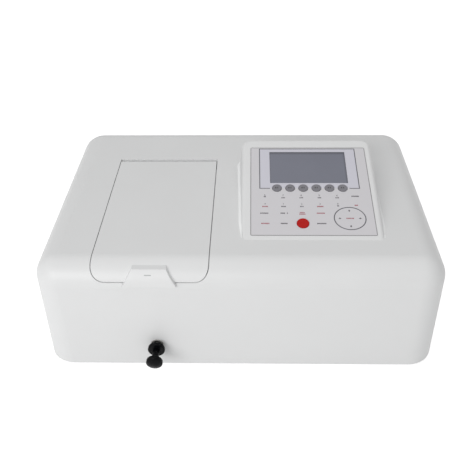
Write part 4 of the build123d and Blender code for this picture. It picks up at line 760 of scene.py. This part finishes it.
class INSTRUMENT_OT_console_cove(bpy.types.Operator):
    """Blend the foot of the console into the cover's top with a cove that fades out at the front"""
    bl_idname = "instrument.console_cove"
    bl_label = "Console cove"

    # the console's outline, in mm, as in the solid
    WIDTH, FRONT, REAR, CORNER = 164.0, -20.0, 168.0, 12.0
    ROOT, ROOT_CORNER = 46.0, 17.75
    SIDE, BACK = math.tan(math.radians(7.0)), math.tan(math.radians(6.0))
    ORIGIN = Vector((84.0, -90.75, 155.0))
    # points along each stretch, the lowest wall that gets a cove, its reach as a share of the wall,
    # and how deep its back lies in the solid, in mm
    STEPS = 40
    LOWEST = 0.6
    SHARE = 0.42
    SINK = 0.4

    def turn(self, cx, cy, corner, start, end):
        """Points round a corner, without its first."""
        angles = [math.radians(start + (end - start) * k / self.STEPS) for k in range(1, self.STEPS + 1)]
        return [(cx + corner * math.cos(a), cy + corner * math.sin(a)) for a in angles]

    def outline(self, half, front, rear, corner):
        """Points round a rounded rectangle's left, rear and right, the same count on each outline."""
        steps = self.STEPS
        depth = rear - front - 2 * corner
        width = 2 * (half - corner)
        points = [(-half, front + corner + depth * k / steps) for k in range(steps + 1)]
        points += self.turn(-half + corner, rear - corner, corner, 180, 90)
        points += [(-half + corner + width * k / steps, rear) for k in range(1, steps)]
        points += self.turn(half - corner, rear - corner, corner, 90, 0)
        points += [(half, rear - corner - depth * k / steps) for k in range(1, steps + 1)]
        return points

    def at(self, x, y, height):
        """A place in mm, up the console's slope and out from its face."""
        return self.ORIGIN + Vector((x, 0, 0)) + UP_SLOPE * y + OUT * height

    def feet(self):
        """Where each line of the console's wall meets the cover's top, with its way up and its length."""
        half = self.WIDTH / 2
        crest = self.outline(half, self.FRONT, self.REAR, self.CORNER)
        root = self.outline(
            half + self.ROOT * self.SIDE, self.FRONT, self.REAR + self.ROOT * self.BACK, self.ROOT_CORNER,
        )
        feet = []
        for (x0, y0), (x1, y1) in zip(crest, root):
            top, bottom = self.at(x0, y0, 0.0), self.at(x1, y1, -self.ROOT)
            rise = top.z - self.ORIGIN.z
            if rise >= self.LOWEST:
                share = rise / (top.z - bottom.z)
                wall = top - bottom
                feet.append((top.lerp(bottom, share), wall.normalized(), wall.length * share))
        return feet

    def section(self, foot, line, length, ahead, cove, steps):
        """The cove's section at one foot: its arc from the top to the wall, then its sunken back."""
        up = Vector((0, 0, 1))
        out = ahead.cross(up) * -1
        if out.dot(line) > 0:
            out = -out
        face = (line - ahead * line.dot(ahead)).normalized()
        slope = math.acos(max(-1.0, min(1.0, -face.dot(out))))
        reach = min(cove, self.SHARE * length)
        radius = reach / math.tan(slope / 2)
        centre = foot + out * reach + up * radius
        angles = [slope * s / steps for s in range(steps + 1)]
        arc = [centre - (up * math.cos(a) + out * math.sin(a)) * radius for a in angles]
        normal = up * math.cos(slope) + out * math.sin(slope)
        return arc + [
            foot + face * reach - normal * self.SINK,
            foot - (normal + up) * self.SINK,
            foot + out * reach - up * self.SINK,
        ]

    def execute(self, context):
        sizes = context.scene.instrument_sizes
        last = sizes.cove_steps
        feet = self.feet()
        bm = bmesh.new()
        rows = []
        for k, (foot, line, length) in enumerate(feet):
            ahead = feet[min(k + 1, len(feet) - 1)][0] - feet[max(k - 1, 0)][0]
            section = self.section(foot, line, length, ahead.normalized(), sizes.cove / MM, last)
            rows.append([bm.verts.new(p * MM) for p in section])
        count = len(rows[0])
        for k, made in enumerate(bridge(bm, rows)):
            made.smooth = k % count < last
        mesh = mesh_from(bm, "console_cove", False)
        sharp = mesh.attributes.new("sharp_edge", "BOOLEAN", "EDGE")
        for edge in mesh.edges:
            a, b = (v % count for v in edge.vertices)
            if a == b and a in (0, last):
                sharp.data[edge.index].value = True
        finished("console_cove", mesh, "body", "cover_plastic")
        return {"FINISHED"}


class INSTRUMENT_OT_rear_screws(bpy.types.Operator):
    """Set cross-recessed screws round the fan, the mains inlet, the data sockets and the rear panel"""
    bl_idname = "instrument.rear_screws"
    bl_label = "Rear screws"

    # places in mm: half the pitch round the fan, the holes beside the socket from its lower left,
    # half the pitch across the inlet, and the panel's corners
    FAN_HALF = 25.0
    SOCKET_HOLES, SOCKET_HEIGHT = (3.0, 28.0), 6.25
    INLET_HALF = 20.5
    PANEL_MARGIN, PANEL_HEIGHTS = 16.0, (30.0, 103.0)
    # shares of the head's radius and height
    CROWN, SLOT_LENGTH, SLOT_WIDTH, SLOT_DEPTH = 0.62, 0.95, 0.22, 1.1
    HEAD_HEIGHT = 0.57
    HEAD_SIDES = 24
    HEAD_TURN = math.radians(20)

    def tree(self):
        """Sets a domed head with a cross cut in it on each point, turned to the rear."""
        tree = Tree("rear_screw_tree", Radius=("Float", 0.0028), Height=("Float", 0.0016))
        inlet = tree.inlet.outputs
        radius, height = inlet["Radius"], inlet["Height"]

        def times(socket, factor):
            return tree.out("ShaderNodeMath", {"operation": "MULTIPLY"}, {0: socket, 1: factor})

        head = tree.out("GeometryNodeMeshCone", None, {
            "Vertices": self.HEAD_SIDES, "Radius Top": times(radius, self.CROWN),
            "Radius Bottom": radius, "Depth": height,
        })
        long, thin = times(radius, self.SLOT_LENGTH), times(radius, self.SLOT_WIDTH)
        deep = times(height, self.SLOT_DEPTH)
        lift = tree.out("ShaderNodeCombineXYZ", None, {"Z": height})
        for a, b in ((long, thin), (thin, long)):
            size = tree.out("ShaderNodeCombineXYZ", None, {"X": a, "Y": b, "Z": deep})
            bar = tree.out("GeometryNodeMeshCube", None, {"Size": size})
            cutter = tree.out("GeometryNodeTransform", None, {"Geometry": bar, "Translation": lift})
            head = tree.out(
                "GeometryNodeMeshBoolean", {"operation": "DIFFERENCE"}, {"Mesh 1": head, "Mesh 2": cutter},
            )
        turn = (-math.pi / 2, 0.0, self.HEAD_TURN)
        return tree.finish(tree.out(
            "GeometryNodeInstanceOnPoints", None,
            {"Points": inlet["Geometry"], "Instance": head, "Rotation": turn},
        ))

    def places(self):
        """The middle of each head's underside."""
        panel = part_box("rear_panel")
        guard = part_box("fan_guard")
        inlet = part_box("mains_inlet")
        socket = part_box("data_sockets")[0]
        face = panel[1].y
        hub = (guard[0] + guard[1]) / 2
        middle = (inlet[0] + inlet[1]) / 2
        round_fan = [
            Vector((hub.x + sx * self.FAN_HALF * MM, guard[1].y, hub.z + sz * self.FAN_HALF * MM))
            for sx in (-1, 1) for sz in (-1, 1)
        ]
        by_socket = [
            Vector((socket.x + d * MM, face, socket.z + self.SOCKET_HEIGHT * MM)) for d in self.SOCKET_HOLES
        ]
        by_inlet = [Vector((middle.x + sx * self.INLET_HALF * MM, face, middle.z)) for sx in (-1, 1)]
        margin = self.PANEL_MARGIN * MM
        on_rear = [
            Vector((x, face, z * MM))
            for x in (panel[0].x + margin, panel[1].x - margin) for z in self.PANEL_HEIGHTS
        ]
        return round_fan + by_socket + by_inlet + on_rear

    def execute(self, context):
        radius = context.scene.instrument_sizes.screw_head
        source = point_cloud("rear_screw_points", self.places())
        values = {"Radius": radius, "Height": radius * self.HEAD_HEIGHT}
        grown(source, self.tree(), values, "rear_screws", "body", "wire_chrome")
        return {"FINISHED"}


class INSTRUMENT_OT_rocker_marks(bpy.types.Operator):
    """Print the on bar and the off ring on the mains rocker"""
    bl_idname = "instrument.rocker_marks"
    bl_label = "Rocker marks"

    # the marks' distance from the middle as a share of the rocker, and their sizes in mm
    OFF_CENTRE = 0.26
    BAR_HALF, BAR_PITCH = 0.4, 0.5
    RING_REACH, RING_FACETS = (1.3, 2.0), 32

    def execute(self, context):
        rocker = NODES["power_rocker"]
        low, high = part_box("power_rocker")
        middle = (low + high) / 2
        off = (high.x - low.x) * self.OFF_CENTRE
        lift = context.scene.instrument_sizes.ink_height
        ahead = (0, -1, 0)
        half = self.BAR_HALF * MM
        bar = [
            tuple((middle.x + off + dx, high.y, middle.z + k * self.BAR_PITCH * MM) for dx in (-half, half))
            for k in range(-4, 5)
        ]
        ring = []
        for k in range(self.RING_FACETS):
            a = 2 * math.pi * k / self.RING_FACETS
            ring.append(tuple(
                (middle.x - off + r * math.cos(a) * MM, high.y, middle.z + r * math.sin(a) * MM)
                for r in self.RING_REACH
            ))
        bm = bmesh.new()
        lay_strip(bm, rocker, ahead, bar, lift)
        lay_strip(bm, rocker, ahead, ring, lift, True)
        finished("rocker_marks", mesh_from(bm, "rocker_marks"), "rocker", "ink_white")
        return {"FINISHED"}


class INSTRUMENT_OT_tab_mark(bpy.types.Operator):
    """Lay the short grey bar on the lid's grip tab"""
    bl_idname = "instrument.tab_mark"
    bl_label = "Tab mark"

    # in mm: left of the lid's middle, above its lip, half the bar's height, its pitch and its lift
    LEFT, ABOVE, HALF, PITCH, LIFT = 1.0, 12.5, 0.45, 0.95, 0.08

    def execute(self, context):
        low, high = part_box("lid")
        x = (low.x + high.x) / 2 - self.LEFT * MM
        z = low.z + self.ABOVE * MM
        half = self.HALF * MM
        bar = [
            tuple((x + k * self.PITCH * MM, low.y, z + dz) for dz in (-half, half)) for k in range(-4, 5)
        ]
        bm = bmesh.new()
        lay_strip(bm, NODES["lid"], (0, 1, 0), bar, self.LIFT * MM)
        finished("tab_mark", mesh_from(bm, "tab_mark"), "lid", "tab_bar_grey")
        return {"FINISHED"}


class INSTRUMENT_OT_stage(bpy.types.Operator):
    """Set the floor, the lamps, the world and the camera"""
    bl_idname = "instrument.stage"
    bl_label = "Stage"

    FLOOR_REACH = 6.0
    FLOOR_GLOW = 0.62
    SKY_STRENGTH = 0.5
    # lamps: place, size in metres, and power in watts; each looks at the target
    TARGET = Vector((0, 0, 0.1))
    LAMPS = {
        "front_left_lamp": ((-0.9, -1.7, 1.0), (1.4, 1.0), 20.0),
        "overhead_lamp": ((0.1, 0.3, 1.9), (1.6, 1.6), 6.8),
    }
    # the camera: place in metres, turns in degrees, sensor and lens in mm
    EYE = Vector((0.012, -0.64825, 0.5959))
    YAW, PITCH, ROLL = -1.5, 38.1, -0.8
    SENSOR, LENS = 36.0, 47.2

    def link(self, tree, *pairs):
        """Links each output to its input."""
        for source, target in pairs:
            tree.links.new(source, target)

    def floor(self, scene):
        """A matt white floor that also glows a little where the camera, a reflection or glass shows it."""
        r = self.FLOOR_REACH
        bm = bmesh.new()
        bm.faces.new([bm.verts.new((x, y, 0.0)) for x, y in ((-r, -r), (r, -r), (r, r), (-r, r))])
        floor = bpy.data.objects.new("floor", mesh_from(bm, "floor"))
        scene.collection.objects.link(floor)
        f = Finish("floor_white", base_color=(0.8, 0.8, 0.8), roughness=0.9)
        glow = f.tree.nodes.new("ShaderNodeEmission")
        glow.inputs["Strength"].default_value = self.FLOOR_GLOW
        add = f.tree.nodes.new("ShaderNodeAddShader")
        pick = f.tree.nodes.new("ShaderNodeMixShader")
        camera, gloss, glass = (
            f.node("LightPath", outlet=f"Is {kind} Ray") for kind in ("Camera", "Glossy", "Transmission")
        )
        seen = f.node("Math", {"operation": "MINIMUM"}, {0: camera + gloss + glass, 1: 1.0})
        self.link(
            f.tree,
            (f.shader.outputs[0], add.inputs[0]), (glow.outputs[0], add.inputs[1]),
            (seen.socket, pick.inputs["Fac"]),
            (f.shader.outputs[0], pick.inputs[1]), (add.outputs[0], pick.inputs[2]),
            (pick.outputs[0], f.output.inputs["Surface"]),
        )
        floor.data.materials.append(f.material)

    def world(self, scene):
        """A white sky that lights the part, and a brighter backdrop that only the camera and glass see."""
        world = bpy.data.worlds.new("studio")
        scene.world = world
        world.use_nodes = True
        nodes = world.node_tree.nodes
        nodes.clear()
        sky = nodes.new("ShaderNodeBackground")
        sky.inputs["Color"].default_value = (1.0, 1.0, 1.0, 1.0)
        sky.inputs["Strength"].default_value = self.SKY_STRENGTH
        backdrop = nodes.new("ShaderNodeBackground")
        path = nodes.new("ShaderNodeLightPath")
        seen = nodes.new("ShaderNodeMath")
        seen.operation = "MAXIMUM"
        pick = nodes.new("ShaderNodeMixShader")
        out = nodes.new("ShaderNodeOutputWorld")
        self.link(
            world.node_tree,
            (path.outputs["Is Camera Ray"], seen.inputs[0]),
            (path.outputs["Is Transmission Ray"], seen.inputs[1]),
            (seen.outputs[0], pick.inputs["Fac"]),
            (sky.outputs[0], pick.inputs[1]), (backdrop.outputs[0], pick.inputs[2]),
            (pick.outputs[0], out.inputs["Surface"]),
        )

    def lamps(self, scene):
        """Two soft boxes, one at the front left and one overhead."""
        for name, (place, size, power) in self.LAMPS.items():
            light = bpy.data.lights.new(name, "AREA")
            light.shape = "RECTANGLE"
            light.size, light.size_y = size
            light.energy = power
            lamp = bpy.data.objects.new(name, light)
            scene.collection.objects.link(lamp)
            lamp.location = place
            lamp.rotation_euler = (self.TARGET - Vector(place)).to_track_quat("-Z", "Y").to_euler()

    def camera(self, scene):
        """The photograph's camera, turned left or right, tilted down and rolled."""
        camera = bpy.data.cameras.new("camera")
        camera.sensor_width = self.SENSOR
        camera.lens = self.LENS
        eye = bpy.data.objects.new("camera", camera)
        scene.collection.objects.link(eye)
        yaw, pitch, roll = (math.radians(a) for a in (self.YAW, self.PITCH, self.ROLL))
        level = Vector((math.sin(yaw), math.cos(yaw), 0)) * math.cos(pitch)
        ahead = level - Vector((0, 0, math.sin(pitch)))
        right = Vector((math.cos(yaw), -math.sin(yaw), 0))
        up = right.cross(ahead)
        turned = right * math.cos(roll) + up * math.sin(roll)
        raised = -right * math.sin(roll) + up * math.cos(roll)
        axes = Matrix((turned, raised, -ahead)).transposed()
        eye.matrix_world = Matrix.Translation(self.EYE) @ axes.to_4x4()
        scene.camera = eye

    def execute(self, context):
        scene = context.scene
        self.floor(scene)
        self.world(scene)
        self.lamps(scene)
        self.camera(scene)
        scene.view_settings.view_transform = "Standard"
        return {"FINISHED"}


class INSTRUMENT_PT_panel(bpy.types.Panel):
    """Lists the instrument's colours and sizes, and a button for each operator"""
    bl_idname = "INSTRUMENT_PT_panel"
    bl_label = "Spectrophotometer"
    bl_space_type = "VIEW_3D"
    bl_region_type = "UI"
    bl_category = "Instrument"

    def draw(self, context):
        for group in (context.scene.instrument_colours, context.scene.instrument_sizes):
            for key in group.__annotations__:
                self.layout.prop(group, key)
        for operator in OPERATORS:
            self.layout.operator(operator.bl_idname)


OPERATORS = (
    INSTRUMENT_OT_stage,
    INSTRUMENT_OT_finishes,
    INSTRUMENT_OT_console_cove,
    INSTRUMENT_OT_frame_line,
    INSTRUMENT_OT_arrow_ring,
    INSTRUMENT_OT_legends,
    INSTRUMENT_OT_rear_screws,
    INSTRUMENT_OT_rocker_marks,
    INSTRUMENT_OT_tab_mark,
)
CLASSES = (InstrumentColours, InstrumentSizes, *OPERATORS, INSTRUMENT_PT_panel)


def register():
    """Adds the operators, the panel and the two groups of settings."""
    for cls in CLASSES:
        bpy.utils.register_class(cls)
    bpy.types.Scene.instrument_colours = PointerProperty(type=InstrumentColours)
    bpy.types.Scene.instrument_sizes = PointerProperty(type=InstrumentSizes)


def unregister():
    """Takes them away again."""
    del bpy.types.Scene.instrument_sizes
    del bpy.types.Scene.instrument_colours
    for cls in reversed(CLASSES):
        bpy.utils.unregister_class(cls)


def main():
    """Dresses the part through its operators."""
    register()
    for operator in OPERATORS:
        group, name = operator.bl_idname.split(".")
        getattr(getattr(bpy.ops, group), name)()


if __name__ == "__main__":
    main()
